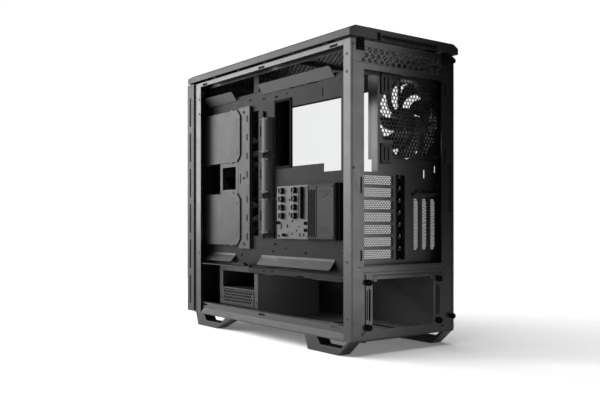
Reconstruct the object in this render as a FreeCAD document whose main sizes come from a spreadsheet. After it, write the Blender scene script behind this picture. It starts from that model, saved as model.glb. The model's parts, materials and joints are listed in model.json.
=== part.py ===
"""An open mid-tower computer case: steel chassis, glass side, fans, drive trays, cover and front.

Frame: X across the case, Y along it with the rear at +Y, Z up from the floor. Places inside the
case are given as a maker reads them off the case: "u" in from the open right side, "r" forward
from the rear sheet and "z" up from the floor. The helpers turn those into X, Y and Z.
"""

import FreeCAD, Part
import Sketcher
import os
import re

doc = FreeCAD.newDocument("computer_tower")
sheet = doc.addObject("Spreadsheet::Sheet", "Dims")

SIZES = {
    # chassis envelope
    "chassis_width": 236, "chassis_depth": 507, "chassis_bottom": 24.5, "chassis_top": 504,
    "metal": 1.2, "base_sheet": 1.5, "rear_return": 17, "front_return": 24,
    "top_rail_drop": 8.5, "top_rail_lip": 14, "base_rail_rise": 24.5, "base_rail_lip": 12,
    "rail_slot_length": 20, "rail_slot_width": 3.6, "rail_slot_edge": 42,
    # feet
    "foot_width": 24, "foot_inset": 0.5, "foot_bar": 12, "rear_foot_length": 122, "rear_foot_toe": 9,
    "rear_foot_heel": 28, "rear_foot_strap": 7, "rear_foot_crotch": 23, "front_foot_length": 144,
    "front_foot_toe": 10, "front_foot_heel": 59, "front_foot_strap": 25, "front_foot_crotch": 43,
    "foot_leg": 35, "foot_setback": 2,
    # rear sheet and its recessed panel
    "window_right": 28.5, "window_bottom": 144, "window_top": 458,
    "recess": 17, "panel_right": 12, "panel_margin": 3,
    "vent_pitch": 13, "vent_hex": 5, "vent_row": 8.6, "vent_first": 27, "vent_bottom": 472,
    "side_screw_edge": 7, "side_screw_top": 495, "side_screw_bottom": 51, "screw_hole": 1.6,
    # input/output aperture
    "io_stand": 2.8, "io_width": 44.5, "io_bottom": 296.5, "io_height": 158, "io_flange": 14,
    # expansion slots
    "slot_pitch": 20.32, "slot_top": 283, "slot_opening": 14.5, "slot_cover_width": 17.4,
    "slot_stand": 3.3, "slot_length": 79, "slot_step": 10, "slot_tab": 27, "slot_screw_rise": 6.5,
    "slot_cover_overlap": 8, "slot_cover_lap": 3, "upright_first": 161.2, "upright_bottom": 167,
    "upright_height": 87, "upright_cover_width": 15.4, "upright_opening": 12,
    # fans
    "fan_size": 140, "fan_depth": 25, "fan_seat": 21, "fan_hub": 20.5, "fan_shaft": 1.5,
    "shaft_clearance": 0.05, "fan_spoke": 6, "rear_fan_z": 389, "front_fan_low": 196,
    "front_fan_gap": 2, "grille_pitch": 12, "grille_hex": 4.6,
    "blade_chord": 30, "blade_thick": 1.6, "blade_pitch": 56,
    # motherboard tray
    "tray_inset": 24, "tray_top": 462, "lip_reach": 13, "lip_height": 15,
    "cpu_near": 52, "cpu_far": 190.5, "cpu_top": 421, "cpu_bottom": 314, "cpu_step_far": 99,
    "cpu_step_bottom": 299.5, "duct_near": 193, "duct_far": 244, "duct_top": 434, "duct_bottom": 316,
    "channel_near": 299, "channel_far": 322, "channel_bottom": 188, "channel_top": 427,
    "drive_void_near": 372, "drive_void_bottom": 180, "drive_void_top": 426,
    "board_near": 51, "board_mid": 154.94, "board_far": 226.06, "board_top": 446.5,
    "board_row": 157.48, "board_drop": 281.94, "standoff_radius": 3, "standoff_height": 6.5,
    "standoff_bore": 1.3, "tray_hook": 19,
    # cable management
    "slat_width": 16, "slat_bottom": 184, "slat_top": 423, "slat_thick": 4, "slat_slot_rise": 32,
    "duct_cover_r": 262, "duct_cover_radius": 15, "duct_cover_wall": 2, "duct_cover_bottom": 193,
    "duct_cover_pitch": 75, "duct_cover_height": 65,
    # solid-state drive trays and their bracket
    "bracket_near": 322, "bracket_width": 42, "bracket_bottom": 163, "bracket_top": 438,
    "bracket_rise": 6, "bridge_bottom": 270, "bridge_top": 333, "bridge_hole": 9,
    "ssd_near": 355, "ssd_height": 102, "ssd_upper": 333, "ssd_lower": 169,
    "ssd_thick": 3,
    # fan hub
    "hub_near": 55, "hub_split": 132, "hub_far": 229, "hub_bottom": 184, "hub_top": 279,
    "carrier_thick": 4, "board_thick": 2, "hub_cover_thick": 8, "plug_first": 171, "plug_column": 39,
    "plug_bottom": 220, "plug_pitch": 15, "plug_size": 8, "plug_height": 6, "strip_near": 150,
    "strip_width": 6, "strip_length": 56,
    # power-supply chamber
    "shroud_top": 129.2, "shroud_edge": 2, "shroud_wall_gap": 13,
    "shroud_notch": 15, "shroud_notch_r": 166,
    "psu_right": 45, "psu_width": 142, "psu_bottom": 41, "psu_height": 81, "psu_border": 14,
    "psu_thick": 1.5, "psu_slot": 3, "psu_slot_margin": 14, "psu_knob": 4.5, "psu_knob_length": 5,
    # drive cage
    "cage_near": 302, "cage_bottom": 48, "cage_depth": 156, "cage_border": 13,
    "lower_bay_bottom": 51, "bay_height": 28, "upper_bay_bottom": 83, "upper_bay_height": 33,
    "caddy_gap": 1, "caddy_wall": 2, "caddy_side": 18, "caddy_stand": 1.2,
    # top shelf
    "shelf_edge": 3, "shelf_hole_width": 150, "shelf_hole_edge": 30, "shelf_hole_near": 190,
    "shelf_bar": 12,
    # cover, front and glass
    "cover_overhang": 6, "cover_bottom": 507, "cover_height": 17, "cover_bevel_run": 12,
    "cover_bevel_drop": 6.5, "cover_wall": 2.5, "cover_rear_reach": 5,
    "cover_peg": 4, "cover_peg_edge": 8, "cover_peg_inset": 60, "cover_step": 15,
    "front_depth": 29, "front_overhang": 3, "front_bottom": 27, "front_top": 505.5, "front_wall": 3,
    "front_vent": 4, "front_vent_height": 60, "front_vent_pitch": 75, "front_vent_setback": 14,
    "front_vent_rise": 15, "filter_thick": 3, "filter_gap": 1,
    "front_window_lap": 5, "front_window_bottom": 66,
    "glass_thick": 4, "glass_gap": 0.4, "glass_setback": 2, "glass_bottom": 29, "glass_top": 503,
    "thumb_reach": 8, "thumb_radius": 4.6, "clip_width": 12, "clip_height": 10, "clip_depth": 2,
    # input/output strip on the top edge
    "strip_span": 122, "strip_run": 20, "strip_top": 522.6, "cover_gap": 1, "power_radius": 6.5,
    "reset_radius": 3, "button_gap": 0.08, "button_stand": 1, "button_length": 7, "usb_pitch": 20,
    "usb_width": 13, "usb_height": 5.6, "usb_depth": 12, "usb_tongue": 2.4,
    "slider_slot": 16, "slider_width": 4, "slider_length": 5,
    # floor filter
    "intake_edge": 58, "intake_near": 40, "intake_length": 160, "floor_filter_edge": 48,
    "floor_filter_length": 300, "floor_filter_near": 20, "floor_filter_thick": 3,
    "guide_width": 4, "guide_drop": 7, "guide_slack": 0.4,
}

# places that follow the sizes above, as formulas of the sheet
PLACES = {
    "window_left": "=chassis_width - 30.5", "panel_left": "=chassis_width - 14",
    "rear_fan_u": "=window_left - 60.5",
    "io_right": "=tray_inset + metal + io_stand", "slot_right": "=tray_inset + metal + slot_stand",
    "front_window_width": "=fan_size - 2 * front_window_lap",
    "fan_bore": "=fan_size / 2 - 2", "fan_tip": "=fan_bore - 2.5", "grille_radius": "=fan_bore - 2",
    "fan_screw_spacing": "=fan_size - 15.5",
    "slat_near": "=duct_cover_r + duct_cover_radius + 1",
    "drive_void_far": "=chassis_depth - 21", "ssd_far": "=chassis_depth - 9",
    "bracket_far": "=bracket_near + bracket_width",
    "bridge_far": "=bracket_far + (ssd_far - bracket_far) / 2 + 2",
    "cage_length": "=chassis_depth - 62 - cage_near",
    "shroud_far": "=chassis_depth - 27", "shelf_far": "=chassis_depth - 29",
    "shelf_hole_length": "=(shelf_far - shelf_hole_near - shelf_bar - 16) / 2",
    "shelf_hole_pitch": "=shelf_hole_length + shelf_bar",
    "cover_front_r": "=chassis_depth + 21",
    "strip_u": "=(chassis_width - strip_span) / 2", "strip_r": "=chassis_depth - 22",
    "power_u": "=strip_u + 17", "reset_u": "=strip_u + 35", "slider_u": "=strip_u + 46",
    "usb_u": "=strip_u + 71",
}

SLOTS = 7
UPRIGHT_SLOTS = 3
BLADES = 7
VENT_ROWS = 3
VENT_COLUMNS = 14
GUIDES = 3
FRONT_VENTS = 6
HEX_ROW = 3 ** 0.5 / 2

for row, (alias, value) in enumerate((SIZES | PLACES).items(), start=1):
    sheet.set(f"A{row}", alias)
    sheet.set(f"B{row}", str(value))
    sheet.setAlias(f"B{row}", alias)
doc.recompute()

HALF = "chassis_width / 2"
REAR = "(chassis_depth + front_depth - thumb_reach) / 2"
DEPTH = "chassis_depth"
FLOOR = "chassis_bottom + base_sheet"

finished = []


def bound(text):
    """Point each size word of an expression at its cell in the sheet."""
    return re.sub(r"[a-z][a-z_]+", lambda word: "Dims." + word.group(0), str(text))


def finish(node, piece):
    """Name a finished sub-part and keep it for writing."""
    piece.Label = node
    finished.append(piece)
    return piece


def block(u, du, r, dr, z, dz):
    """A box: du wide from u, dr long from r and dz tall from z."""
    piece = doc.addObject("Part::Box", "block")
    sizes = {"Length": du, "Width": dr, "Height": dz}
    place = {"x": f"{HALF} - ({u}) - ({du})", "y": f"{REAR} - ({r}) - ({dr})", "z": z}
    for name, text in sizes.items():
        piece.setExpression(name, bound(text))
    for axis, text in place.items():
        piece.setExpression(f"Placement.Base.{axis}", bound(text))
    return piece


def rod(along, u, r, z, radius, length):
    """A cylinder from its lower end: along "x" it runs towards -u, along "y" towards -r."""
    piece = doc.addObject("Part::Cylinder", "rod")
    turns = {"x": ((0, 1, 0), 90), "y": ((1, 0, 0), -90), "z": ((0, 0, 1), 0)}
    axis, angle = turns[along]
    piece.Placement.Rotation = FreeCAD.Rotation(FreeCAD.Vector(*axis), angle)
    piece.setExpression("Radius", bound(radius))
    piece.setExpression("Height", bound(length))
    piece.setExpression("Placement.Base.x", bound(f"{HALF} - ({u})"))
    piece.setExpression("Placement.Base.y", bound(f"{REAR} - ({r})"))
    piece.setExpression("Placement.Base.z", bound(z))
    return piece


def hexagon(u, r, z, radius, length):
    """A six-sided prism along Y, for the punched vents."""
    piece = doc.addObject("Part::Prism", "hexagon")
    piece.Polygon = 6
    piece.Placement.Rotation = FreeCAD.Rotation(FreeCAD.Vector(1, 0, 0), -90)
    piece.setExpression("Circumradius", bound(radius))
    piece.setExpression("Height", bound(length))
    piece.setExpression("Placement.Base.x", bound(f"{HALF} - ({u})"))
    piece.setExpression("Placement.Base.y", bound(f"{REAR} - ({r})"))
    piece.setExpression("Placement.Base.z", bound(z))
    return piece


def group(pieces, name="group"):
    """Several separate solids kept together."""
    bundle = doc.addObject("Part::Compound", name)
    bundle.Links = pieces
    return bundle


def fuse(pieces):
    """Pieces welded into one."""
    joined = doc.addObject("Part::MultiFuse", "joined")
    joined.Shapes = pieces
    return joined


def cut(base, holes):
    """A piece with clear, separate holes taken out of it."""
    drilled = doc.addObject("Part::Cut", "drilled")
    drilled.Base = base
    drilled.Tool = holes[0] if len(holes) == 1 else group(holes)
    return drilled


def mirrored_u(side, u, du):
    """The same inset from the right side, or from the left one."""
    return u if side == "right" else f"chassis_width - ({u}) - ({du})"


def profile_body(plane_role, points, length, name):
    """A PartDesign body padded from a closed outline whose corners are sheet expressions."""
    body = doc.addObject("PartDesign::Body", name)
    plane = [p for p in body.Origin.OriginFeatures if p.Role == plane_role][0]
    sketch = body.newObject("Sketcher::SketchObject", name + "_outline")
    sketch.AttachmentSupport = [(plane, "")]
    sketch.MapMode = "FlatFace"
    count = len(points)
    start = [FreeCAD.Vector(sheet_value(a), sheet_value(b), 0) for a, b in points]
    for i in range(count):
        sketch.addGeometry(Part.LineSegment(start[i], start[(i + 1) % count]))
    for i in range(count):
        sketch.addConstraint(constraint("Coincident", i, 2, (i + 1) % count, 1))
    for i, (a, b) in enumerate(points):
        across = sketch.addConstraint(constraint("DistanceX", -1, 1, i, 1, start[i].x))
        sketch.setExpression(f"Constraints[{across}]", bound(a))
        up = sketch.addConstraint(constraint("DistanceY", -1, 1, i, 1, start[i].y))
        sketch.setExpression(f"Constraints[{up}]", bound(b))
    pad = body.newObject("PartDesign::Pad", name + "_pad")
    pad.Profile = sketch
    pad.setExpression("Length", bound(length))
    return body


def constraint(*words):
    """One sketch constraint."""
    return Sketcher.Constraint(*words)


def sheet_value(text):
    """The present value of a sheet expression."""
    filled = re.sub(r"[a-z][a-z_]+", lambda word: repr(float(sheet.get(word.group(0)))), str(text))
    return float(FreeCAD.Units.Quantity(filled).Value)


# ---- base, rails and feet -------------------------------------------------------------------

pan = block(0, "chassis_width", 0, DEPTH, "chassis_bottom", "base_sheet")
intake = block("intake_edge", "chassis_width - 2 * intake_edge", "intake_near", "intake_length",
               "chassis_bottom - metal", "base_sheet + 2 * metal")
guides = []
for side in ("right", "left"):
    outer = "floor_filter_edge - guide_slack - guide_width"
    web = mirrored_u(side, outer, "guide_width")
    guides.append(block(web, "guide_width", "floor_filter_near", "floor_filter_length",
                        "chassis_bottom - guide_drop", "guide_drop"))
    ledge = mirrored_u(side, outer, "2 * guide_width")
    guides.append(block(ledge, "2 * guide_width", "floor_filter_near", "floor_filter_length",
                        "chassis_bottom - guide_drop", "metal"))
finish("base_pan", fuse([cut(pan, [intake])] + guides))

RAIL_RUN = "chassis_depth - rear_return - front_return"
for side in ("right", "left"):
    wall_u = mirrored_u(side, "0", "metal")
    for level, low, rise, lip_z, lip, slot_z in (
            ("base", FLOOR, "base_rail_rise - base_sheet", "chassis_bottom + base_rail_rise - metal",
             "base_rail_lip", "chassis_bottom + base_rail_rise - 2 * rail_slot_width"),
            ("top", "chassis_top - top_rail_drop", "top_rail_drop", "chassis_top - metal",
             "top_rail_lip", "chassis_top - 2 * rail_slot_width")):
        web = block(wall_u, "metal", "rear_return", RAIL_RUN, low, rise)
        lip_u = mirrored_u(side, "0", lip)
        flange = block(lip_u, lip, "rear_return", RAIL_RUN, lip_z, "metal")
        slots = []
        middle = "chassis_depth / 2"
        for centre in ("rail_slot_edge", middle, "chassis_depth - rail_slot_edge"):
            slot_u = mirrored_u(side, "0 - metal", "3 * metal")
            slots.append(block(slot_u, "3 * metal", f"{centre} - rail_slot_length / 2",
                               "rail_slot_length", slot_z, "rail_slot_width"))
        finish(f"{side}_{level}_rail", cut(fuse([web, flange]), slots))


def foot(node, side, heel_r, length, end):
    """A bent strap foot: a floor bar with a leg at each end, open in the middle."""
    front = f"{REAR} - ({heel_r}) - ({length})"
    back = f"{REAR} - ({heel_r})"
    toe = f"{end}_foot_toe"
    outline = [(front, "chassis_bottom"), (f"{front} + {toe}", "0"),
               (f"{back} - {end}_foot_heel", "0"), (back, "chassis_bottom"),
               (f"{back} - {end}_foot_strap", "chassis_bottom"),
               (f"{back} - {end}_foot_crotch", "foot_bar"),
               (f"{front} + {toe} + foot_leg", "foot_bar"), (f"{front} + foot_leg", "chassis_bottom")]
    strap = profile_body("YZ_Plane", outline, "foot_width", node)
    low_u = mirrored_u(side, "foot_inset", "foot_width")
    strap.setExpression("Placement.Base.x", bound(f"{HALF} - ({low_u}) - foot_width"))
    finish(node, strap)


for side in ("right", "left"):
    foot(f"rear_{side}_foot", side, "foot_setback", "rear_foot_length - foot_setback", "rear")
    foot(f"front_{side}_foot", side, "chassis_depth - foot_setback - front_foot_length",
         "front_foot_length", "front")

# ---- rear sheet -----------------------------------------------------------------------------

rear_sheet = block(0, "chassis_width", 0, "metal", FLOOR, f"chassis_top - ({FLOOR})")
returns = [block(mirrored_u(side, "0", "metal"), "metal", 0, "rear_return", FLOOR,
                 f"chassis_top - ({FLOOR})") for side in ("right", "left")]
THROUGH = "0 - metal"
WIDE = "3 * metal"
rear_holes = [
    block("window_right", "window_left - window_right", THROUGH, WIDE, "window_bottom",
          "window_top - window_bottom"),
    block("psu_right", "psu_width", THROUGH, WIDE, "psu_bottom", "psu_height"),
]
for line in range(VENT_ROWS):
    for column in range(VENT_COLUMNS):
        shift = 0.5 * (line % 2)
        rear_holes.append(hexagon(f"vent_first + {column + shift} * vent_pitch", "2 * metal",
                                  f"vent_bottom + {line} * vent_row", "vent_hex", WIDE))
for level in ("side_screw_top", "side_screw_bottom"):
    for side_u in ("side_screw_edge", "chassis_width - side_screw_edge"):
        rear_holes.append(rod("y", side_u, "2 * metal", level, "screw_hole", "3 * metal"))
finish("rear_frame", cut(fuse([rear_sheet] + returns), rear_holes))

# ---- recessed rear panel --------------------------------------------------------------------

PANEL_SPAN = "panel_left - panel_right"
PANEL_LOW = "window_bottom - panel_margin"
PANEL_RISE = "window_top - window_bottom + 2 * panel_margin"
plate = block("panel_right", PANEL_SPAN, "recess", "metal", PANEL_LOW, PANEL_RISE)
walls = [
    block("panel_right", "metal", "metal", "recess - metal", PANEL_LOW, PANEL_RISE),
    block("panel_left - metal", "metal", "metal", "recess - metal", PANEL_LOW, PANEL_RISE),
    block("panel_right", PANEL_SPAN, "metal", "recess - metal", PANEL_LOW, "metal"),
    block("panel_right", PANEL_SPAN, "metal", "recess - metal",
          "window_top + panel_margin - metal", "metal"),
]
BEHIND = "recess + metal"
SLOT_SPAN = f"{SLOTS} * slot_pitch"
SLOT_LOW = f"slot_top - {SLOTS - 0.5} * slot_pitch"
SLOT_END = "slot_right + slot_length"
screw_rail = block(f"{SLOT_END} + slot_tab - slot_step", "slot_step", f"{BEHIND} + slot_step + metal",
                   "metal", SLOT_LOW, SLOT_SPAN)
rail_web = block(f"{SLOT_END} + slot_tab", "metal", BEHIND, "slot_step + 2 * metal",
                 SLOT_LOW, SLOT_SPAN)
io_return = block("io_right + io_width", "metal", BEHIND, "io_flange", "io_bottom", "io_height")
PUNCH = "recess - metal"
panel_holes = [block("io_right", "io_width", PUNCH, WIDE, "io_bottom", "io_height"),
               block(SLOT_END, "slot_tab", PUNCH, WIDE, SLOT_LOW, SLOT_SPAN)]
for slot in range(SLOTS):
    centre = f"slot_top - {slot} * slot_pitch"
    panel_holes.append(block("slot_right", "slot_length", PUNCH, WIDE,
                             f"{centre} - slot_opening / 2", "slot_opening"))
for slot in range(UPRIGHT_SLOTS):
    centre = f"upright_first + {slot} * slot_pitch"
    panel_holes.append(block(f"{centre} - upright_opening / 2", "upright_opening", PUNCH, WIDE,
                             "upright_bottom", "upright_height"))
reach = int(sheet_value("grille_radius / grille_pitch"))
grille = []
for line in range(-reach - 1, reach + 2):
    for column in range(-reach - 1, reach + 2):
        across = column + 0.5 * (line % 2)
        rise = line * HEX_ROW
        if (across ** 2 + rise ** 2) ** 0.5 <= reach:
            grille.append(hexagon(f"rear_fan_u + {across} * grille_pitch", f"{BEHIND} + metal",
                                  f"rear_fan_z + {round(rise, 4)} * grille_pitch",
                                  "grille_hex", WIDE))
finish("inner_rear_panel", cut(fuse([plate, screw_rail, rail_web, io_return] + walls),
                               panel_holes + grille))

tab_screws = []
for slot in range(SLOTS):
    centre = f"slot_top - {slot} * slot_pitch"
    low = f"{centre} - slot_cover_width / 2"
    face = block("slot_right - slot_cover_lap", "slot_length + slot_cover_lap + slot_cover_overlap",
                 BEHIND, "metal", low, "slot_cover_width")
    bend = block(f"{SLOT_END} + slot_cover_overlap - metal", "metal", BEHIND, "slot_step + metal",
                 low, "slot_cover_width")
    tab = block(f"{SLOT_END} + slot_cover_overlap - metal",
                "slot_tab - slot_cover_overlap", f"{BEHIND} + slot_step", "metal",
                low, "slot_cover_width")
    finish(f"slot_cover_{slot + 1}", fuse([face, bend, tab]))
    tab_screws.append(rod("y", f"{SLOT_END} + slot_tab - slot_step / 2", f"{BEHIND} + slot_step",
                          f"{centre} + slot_screw_rise", "2 * screw_hole", "2 * metal"))
fan_screws = [rod("y", f"rear_fan_u + {across} * fan_screw_spacing", "recess",
                  f"rear_fan_z + {rise} * fan_screw_spacing", "2 * screw_hole", "metal")
              for across in (-0.5, 0.5) for rise in (-0.5, 0.5)]
finish("rear_screws", group(tab_screws + fan_screws))

uprights = []
for slot in range(UPRIGHT_SLOTS):
    centre = f"upright_first + {slot} * slot_pitch"
    uprights.append(block(f"{centre} - upright_cover_width / 2", "upright_cover_width", BEHIND, "metal",
                          "upright_bottom - slot_cover_overlap",
                          "upright_height + 2 * slot_cover_overlap"))
finish("upright_slot_covers", group(uprights))
UPRIGHT_LEFT = f"upright_first + {UPRIGHT_SLOTS - 0.5} * slot_pitch"
clamp = block("upright_first - slot_pitch / 2", f"{UPRIGHT_SLOTS} * slot_pitch", PUNCH, "metal",
              "upright_bottom + upright_height + slot_cover_overlap / 2", "slot_cover_overlap / 2")
clamp_arm = block(f"{UPRIGHT_LEFT} - slot_cover_overlap / 2", "slot_cover_overlap / 2", PUNCH, "metal",
                  "upright_bottom + upright_height + slot_cover_overlap / 2", "slot_pitch")
finish("upright_slot_clamp", fuse([clamp, clamp_arm]))

# ---- front sheet, tray and shroud -----------------------------------------------------------

FRONT = "chassis_depth - metal"
front_sheet = block(0, "chassis_width", FRONT, "metal", FLOOR, f"chassis_top - ({FLOOR})")
front_returns = [block(mirrored_u(side, "0", "metal"), "metal", "chassis_depth - front_return",
                       "front_return", FLOOR, f"chassis_top - ({FLOOR})") for side in ("right", "left")]
front_shelf = block(0, "chassis_width", "chassis_depth - front_return", "front_return",
                    "chassis_top - metal", "metal")
FANS_HIGH = "2 * fan_size + front_fan_gap"
front_window = block("(chassis_width - front_window_width) / 2", "front_window_width",
                     f"{FRONT} - metal", WIDE, "front_window_bottom",
                     f"front_fan_low - fan_size / 2 + {FANS_HIGH} - front_window_bottom - front_fan_gap")
finish("front_frame", cut(fuse([front_sheet, front_shelf] + front_returns), [front_window]))

tray = block("tray_inset", "metal", BEHIND, f"{FRONT} - ({BEHIND})", "shroud_top",
             "tray_top - shroud_top")
TRAY_CUT = "tray_inset - metal"
tray_holes = [
    block(TRAY_CUT, WIDE, "cpu_near", "cpu_far - cpu_near", "cpu_bottom", "cpu_top - cpu_bottom"),
    block(TRAY_CUT, WIDE, "duct_near", "duct_far - duct_near", "duct_bottom", "duct_top - duct_bottom"),
    block(TRAY_CUT, WIDE, "channel_near", "channel_far - channel_near", "channel_bottom",
          "channel_top - channel_bottom"),
    block(TRAY_CUT, WIDE, "drive_void_near", "drive_void_far - drive_void_near",
          "drive_void_bottom", "drive_void_top - drive_void_bottom"),
]
cpu_step = block(TRAY_CUT, WIDE, "cpu_near", "cpu_step_far - cpu_near", "cpu_step_bottom",
                 "cpu_bottom - cpu_step_bottom + metal")
tray_holes[0] = fuse([tray_holes[0], cpu_step])
hooks = [block("tray_inset", "metal", near, "tray_hook", "tray_top",
               "chassis_top - 2 * metal - tray_top")
         for near in (BEHIND, "channel_near", "drive_void_far")]
finish("motherboard_tray", fuse([cut(tray, tray_holes)] + hooks))


def tray_lip(node, near, far, low):
    """A bent lip standing off the tray's edge towards the open side."""
    foot_strip = block("tray_inset - metal", "metal", near, f"{far} - ({near})", low, "lip_height")
    shelf = block("tray_inset - lip_reach", "lip_reach", near, f"{far} - ({near})", low, "metal")
    finish(node, fuse([foot_strip, shelf]))


tray_lip("upper_rear_lip", "cpu_near + lip_height", "duct_far + 2 * tray_hook", "tray_top - lip_height")
tray_lip("upper_front_lip", "drive_void_near + metal", "drive_void_far", "tray_top - lip_height")
tray_lip("lower_rear_lip", "cpu_near + lip_height", "duct_far + 2 * tray_hook", "shroud_top + metal")
tray_lip("lower_front_lip", "drive_void_near + metal", "drive_void_far", "shroud_top + metal")

standoffs = []
for forward in ("0", "board_mid", "board_far"):
    for drop in ("0", "board_row", "board_drop"):
        near = f"board_near + {forward}"
        level = f"board_top - {drop}"
        post = rod("x", "tray_inset + metal + standoff_height", near, level, "standoff_radius",
                   "standoff_height")
        bore = rod("x", "tray_inset + 2 * metal + standoff_height", near, level, "standoff_bore",
                   "standoff_height")
        standoffs.append(cut(post, [bore]))
finish("standoffs", group(standoffs))

SHROUD_LEFT = "chassis_width - shroud_wall_gap"
shroud_plate = block("shroud_edge", f"{SHROUD_LEFT} - shroud_edge", BEHIND,
                     f"shroud_far - ({BEHIND})", "shroud_top - metal", "metal")
shroud_wall = block(f"{SHROUD_LEFT} - metal", "metal", BEHIND, f"shroud_far - ({BEHIND})",
                    FLOOR, f"shroud_top - ({FLOOR})")
notch = block("shroud_edge - metal", "metal + shroud_notch", "shroud_notch_r - shroud_notch",
              "2 * shroud_notch", "shroud_top - 2 * metal", WIDE)
finish("psu_shroud", cut(fuse([shroud_plate, shroud_wall]), [notch]))

# ---- cable management and drives behind the tray --------------------------------------------

slat = block("tray_inset - slat_thick", "slat_thick", "slat_near", "slat_width", "slat_bottom",
             "slat_top - slat_bottom")
SLAT_PITCH = f"(slat_top - slat_bottom) / {GUIDES}"
slat_slots = [block("tray_inset - 2 * slat_thick", "4 * slat_thick", "slat_near + slat_width / 2",
                    "rail_slot_width", f"slat_bottom + slat_slot_rise + {step} * {SLAT_PITCH}",
                    "rail_slot_length")
              for step in range(GUIDES)]
finish("cable_slat", cut(slat, slat_slots))

duct_covers = []
for step in range(GUIDES):
    low = f"duct_cover_bottom + {step} * duct_cover_pitch"
    tube = cut(rod("z", "tray_inset", "duct_cover_r", low, "duct_cover_radius", "duct_cover_height"),
               [rod("z", "tray_inset", "duct_cover_r", f"{low} - metal",
                    "duct_cover_radius - duct_cover_wall", "duct_cover_height + 2 * metal")])
    behind = block("tray_inset", "2 * duct_cover_radius", "duct_cover_r - 2 * duct_cover_radius",
                   "4 * duct_cover_radius", f"{low} - metal", "duct_cover_height + 2 * metal")
    duct_covers.append(cut(tube, [behind]))
finish("cable_guides", group(duct_covers))

BRACKET_U = "tray_inset - bracket_rise"
column = block(BRACKET_U, "metal", "bracket_near", "bracket_width", "bracket_bottom",
               "bracket_top - bracket_bottom")
webs = [block(BRACKET_U, "bracket_rise", at, "metal", "bracket_bottom", "bracket_top - bracket_bottom")
        for at in ("bracket_near", "bracket_far - metal")]
bridge = block(BRACKET_U, "metal", "bracket_far - metal",
               "bridge_far - bracket_far + metal", "bridge_bottom",
               "bridge_top - bridge_bottom")
bridge_hole = block(f"{BRACKET_U} - metal", WIDE, "bracket_far + bridge_hole",
                    "bridge_far - bracket_far - 2 * bridge_hole",
                    "bridge_bottom + bridge_hole", "bridge_top - bridge_bottom - 2 * bridge_hole")
finish("drive_bracket", fuse([column, cut(bridge, [bridge_hole])] + webs))
for node, low in (("upper_ssd_tray", "ssd_upper"), ("lower_ssd_tray", "ssd_lower")):
    finish(node, block(f"{BRACKET_U} - ssd_thick", "ssd_thick", "ssd_near", "ssd_far - ssd_near",
                       low, "ssd_height"))

HUB_TALL = "hub_top - hub_bottom"
finish("fan_hub_carrier", block("tray_inset - carrier_thick", "carrier_thick", "hub_near",
                                "hub_far - hub_near", "hub_bottom", HUB_TALL))
CARRIER_FACE = "tray_inset - carrier_thick"
finish("fan_hub_board", block(f"{CARRIER_FACE} - board_thick", "board_thick", "hub_split",
                              "hub_far - hub_split", "hub_bottom", HUB_TALL))
BOARD_FACE = f"{CARRIER_FACE} - board_thick"
plugs = [block(f"{BOARD_FACE} - plug_height", "plug_height", f"plug_first + {side} * plug_column",
               "plug_size", f"plug_bottom + {step} * plug_pitch", "plug_size")
         for side in range(2) for step in range(4)]
plugs.append(block(f"{BOARD_FACE} - plug_height", "plug_height", "strip_near", "strip_width",
                   "plug_bottom", "strip_length"))
finish("fan_hub_sockets", group(plugs))
finish("fan_hub_cover", block(f"{CARRIER_FACE} - hub_cover_thick", "hub_cover_thick", "hub_near",
                              "hub_split - hub_near - metal", "hub_bottom", HUB_TALL))

CAGE_ROOF = "shroud_top - metal"
cage_face = block("tray_inset", "metal", "cage_near", "cage_length", "cage_bottom",
                  f"{CAGE_ROOF} - cage_bottom")
bays = []
for low, tall in (("lower_bay_bottom", "bay_height"), ("upper_bay_bottom", "upper_bay_height")):
    bays.append(block("tray_inset - metal", WIDE, "cage_near + cage_border",
                      "cage_length - 2 * cage_border", low, tall))
cage_shell = [cut(cage_face, bays)]
INNER_NEAR = "cage_near + cage_border - metal"
for at in (INNER_NEAR, "cage_near + cage_length - cage_border"):
    cage_shell.append(block("tray_inset", "cage_depth", at, "metal", FLOOR,
                            f"{CAGE_ROOF} - ({FLOOR})"))
for level in ("lower_bay_bottom - metal", "upper_bay_bottom - metal"):
    cage_shell.append(block("tray_inset", "cage_depth", INNER_NEAR,
                            "cage_length - 2 * cage_border + 2 * metal", level, "metal"))
finish("drive_cage", fuse(cage_shell))

CADDY_NEAR = "cage_near + cage_border + caddy_gap"
CADDY_LONG = "cage_length - 2 * cage_border - 2 * caddy_gap"
CADDY_LOW = "lower_bay_bottom + caddy_gap / 4"
caddy = [block("tray_inset - caddy_stand", "caddy_wall", CADDY_NEAR, CADDY_LONG, CADDY_LOW,
               "bay_height - caddy_gap")]
caddy.append(block("tray_inset - caddy_stand", "cage_depth", CADDY_NEAR, CADDY_LONG, CADDY_LOW,
                   "caddy_wall"))
for at in (CADDY_NEAR, f"{CADDY_NEAR} + {CADDY_LONG} - caddy_wall"):
    caddy.append(block("tray_inset - caddy_stand", "cage_depth", at, "caddy_wall", CADDY_LOW,
                       "caddy_side"))
finish("drive_caddy", fuse(caddy))

# ---- power-supply bracket -------------------------------------------------------------------

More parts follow.
